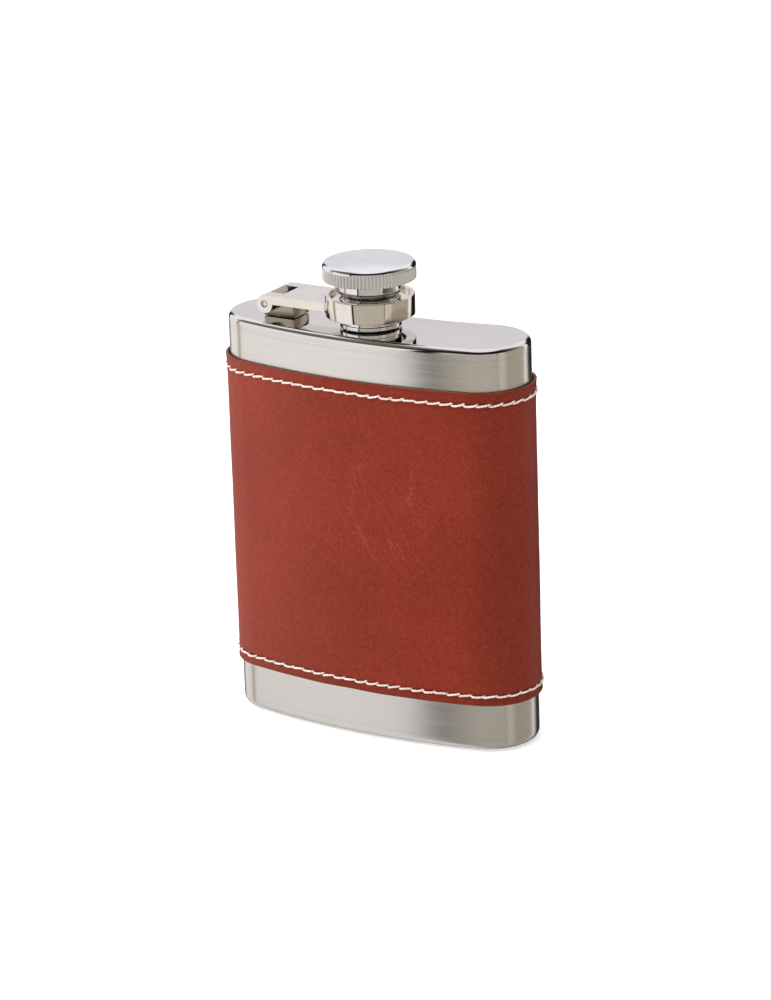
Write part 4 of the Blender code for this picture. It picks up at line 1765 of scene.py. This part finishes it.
@dataclass
class Studio:
    """The camera, a pale floor, soft lights and the pale surroundings that the metal reflects."""

    azimuth: float = 31.82
    elevation: float = 18.34
    roll: float = -1.86
    distance: float = 0.93684
    focal_length: float = 160.86
    target: Vector = field(default_factory=lambda: Vector((0.00055, 0.00118, 0.04833)))
    light_distance: float = 1.1
    panels_meet: Pair = (0.33, 0.48)
    ceiling_from: Pair = (0.9, 0.96)

    def build(self) -> None:
        """Sets up the whole studio."""
        self._camera()
        self._floor()
        self._surroundings()
        self._softbox("key_softbox", -92.0, 32.0, 0.75, 0.55, 6.0, shade(255, 252, 248))
        self._softbox("top_softbox", -20.0, 78.0, 0.8, 0.6, 6.0, shade(255, 252, 250))
        sheen = self._softbox("leather_sheen", -90.0, -14.0, 0.6, 0.7, 17.0, shade(255, 250, 246))
        sheen.visible_glossy = True
        self._shine_only_on(sheen, "leather_sheet", "upper_stitches", "lower_stitches")
        scene = bpy.context.scene
        scene.view_settings.view_transform = "Standard"
        scene.view_settings.look = "None"

    def _direction(self, azimuth: float, elevation: float) -> Vector:
        """A direction from the flask, in degrees; azimuth 0 is straight in front of it."""
        a, e = math.radians(azimuth), math.radians(elevation)
        return Vector((math.sin(a) * math.cos(e), -math.cos(a) * math.cos(e), math.sin(e)))

    def _camera(self) -> None:
        """The camera, a long lens from above and to the right."""
        back = self._direction(self.azimuth, self.elevation)
        right = Vector((0.0, 0.0, 1.0)).cross(back).normalized()
        up = back.cross(right)
        lean = math.radians(self.roll)
        level = right * math.cos(lean) + up * math.sin(lean)
        upright = up * math.cos(lean) - right * math.sin(lean)
        data = bpy.data.cameras.new("camera")
        data.lens = self.focal_length
        data.sensor_width = 36.0
        data.clip_start = 0.05
        camera = bpy.data.objects.new("camera", data)
        turn = Matrix((level, upright, back)).transposed().to_4x4()
        camera.matrix_world = Matrix.Translation(self.target + back * self.distance) @ turn
        bpy.context.scene.collection.objects.link(camera)
        bpy.context.scene.camera = camera

    def _floor(self) -> None:
        """A wide pale floor."""
        bpy.ops.mesh.primitive_plane_add(size=8.0, location=(0.0, 0.0, CAD_BOX[0].z - 0.0002))
        floor = bpy.context.active_object
        floor.name = "pale_floor"
        p = Paint("pale_floor")
        p.plain(Roughness=0.9, Specular_IOR_Level=0.1, Emission_Strength=0.5)
        grain = p.noise(p.place, 3.0, 2.0)
        p.drive("Base Color", p.ramp(grain, (0.3, (0.93, 0.93, 0.93, 1.0)), (0.7, (0.95, 0.95, 0.95, 1.0))))
        paint(floor, p.material)
        floor.visible_glossy = False

    def _softbox(
        self,
        name: str,
        azimuth: float,
        elevation: float,
        width: float,
        height: float,
        power: float,
        colour: Colour,
    ) -> Object:
        """An area light that faces the flask.

        Args:
            name: The light's name.
            azimuth, elevation: Its direction in degrees; azimuth is counted from the camera's.
            width, height: Its size.
            power: Its power in watts.
            colour: Its colour.

        Returns:
            The light.
        """
        data = bpy.data.lights.new(name, "AREA")
        data.shape = "RECTANGLE"
        data.size, data.size_y = width, height
        data.energy = power
        data.color = colour[:3]
        light = bpy.data.objects.new(name, data)
        way = self._direction(self.azimuth + azimuth, elevation)
        light.location = self.target + way * self.light_distance
        light.rotation_mode = "QUATERNION"
        light.rotation_quaternion = way.to_track_quat("Z", "Y")
        light.visible_camera = False
        light.visible_glossy = False
        bpy.context.scene.collection.objects.link(light)
        return light

    def _shine_only_on(self, light: Object, *names: str) -> None:
        """Keeps a light for some pieces.

        Args:
            light: The light.
            *names: The pieces that it lights.
        """
        receivers = bpy.data.collections.new(f"{light.name}_receivers")
        for name in names:
            receivers.objects.link(bpy.data.objects[name])
        light.light_linking.receiver_collection = receivers

    def _surroundings(self) -> None:
        """The pale room round the flask: bright reflectors with dark gaps between them."""
        world = bpy.data.worlds.new("studio")
        bpy.context.scene.world = world
        world.use_nodes = True
        g = Graph(world.node_tree)
        shader = world.node_tree.nodes["Background"]
        way = g.add("ShaderNodeTexCoord").outputs["Generated"]
        parts = g.feed(g.add("ShaderNodeSeparateXYZ"), i0=way).outputs
        turn = g.math("ARCTAN2", parts[0], g.times(parts[1], -1.0))
        turn = g.minus(turn, math.radians(self.azimuth))
        share = g.math("FRACT", g.plus(g.math("DIVIDE", turn, 2.0 * math.pi), 1.5))
        low, high = g.ramp(share, *around(LOW_PANELS)), g.ramp(share, *around(HIGH_PANELS))
        mixed = g.mix(g.ranged(parts[2], *self.panels_meet), low, high)
        mixed = g.mix(g.ranged(parts[2], *self.ceiling_from), mixed, CEILING)
        g.wire(shader, Color=mixed, Strength=1.0)


def around(panels: Sequence[tuple[float, Colour]]) -> list[tuple[float, Colour]]:
    """Takes panels, each at some degrees from the camera's direction, to the stops of a full turn."""
    return [(degrees / 360.0 + 0.5, colour) for degrees, colour in panels]


CREAM = shade(251, 247, 245)
KHAKI = shade(190, 184, 172)
PEARL = shade(228, 226, 231)
SAND = shade(206, 199, 188)
TAN = shade(176, 166, 154)
DUSK = shade(110, 108, 106)
SHADOW = shade(30, 29, 28)
CEILING = shade(252, 252, 255)

LOW_PANELS = (
    (-180.0, PEARL),
    (-166.0, PEARL),
    (-160.0, SHADOW),
    (-152.0, SHADOW),
    (-148.0, CREAM),
    (-112.0, CREAM),
    (-108.0, TAN),
    (-102.0, TAN),
    (-98.0, CREAM),
    (-49.5, CREAM),
    (-48.5, SHADOW),
    (-44.0, SHADOW),
    (-43.0, KHAKI),
    (34.0, KHAKI),
    (35.5, SHADOW),
    (37.0, SAND),
    (52.0, SAND),
    (58.0, TAN),
    (110.0, TAN),
    (116.0, CREAM),
    (124.0, CREAM),
    (131.0, SHADOW),
    (160.0, SHADOW),
    (168.0, PEARL),
    (180.0, PEARL),
)

HIGH_PANELS = (
    (-180.0, CEILING),
    (-128.0, CEILING),
    (-112.0, DUSK),
    (-70.0, DUSK),
    (-50.0, SHADOW),
    (60.0, SHADOW),
    (100.0, DUSK),
    (128.0, CEILING),
    (180.0, CEILING),
)


def build_flask() -> None:
    """Builds every piece of the flask."""
    outline = Outline(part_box("body_wall")[1].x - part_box("body_wall")[0].x)
    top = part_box("top_plate")[1].z
    steel = BrushedSteel().build("brushed_steel")
    top_steel = BrushedSteel(shine_from=top - 1.32 * MM).build("polished_top")
    polished = MirrorMetal(shade(232, 230, 228)).build("polished_steel")
    nickel = MirrorMetal(shade(240, 233, 225)).build("polished_nickel")
    chrome = MirrorMetal(shade(240, 240, 242)).build("cap_chrome")
    FlaskBody(outline, steel, top_steel).build()
    wrap = LeatherWrap(outline, RussetLeather().build("russet_leather"))
    wrap.build()
    thread = WaxedThread().build("waxed_thread")
    upper, lower = wrap.stitch_heights
    StitchRow(outline, wrap, thread, "upper_stitches", "top_stitching", upper, 3).build()
    StitchRow(outline, wrap, thread, "lower_stitches", "bottom_stitching", lower, 8).build()
    Neck(polished).build()
    # a darker, rougher copy of the nickel: painted shade for the bracket under the arm
    painted_shade_nickel = MirrorMetal(shade(168, 160, 144), roughness=0.14, haze=0.12).build("soldered_nickel")
    HingeArm(nickel, painted_shade_nickel, polished).build()
    ScrewCap(chrome, Silicone().build("silicone")).build()


def main() -> None:
    """Builds the flask and the studio."""
    logging.basicConfig(level=logging.INFO, format="%(name)s: %(message)s")
    build_flask()
    Studio().build()


if __name__ == "__main__":
    main()
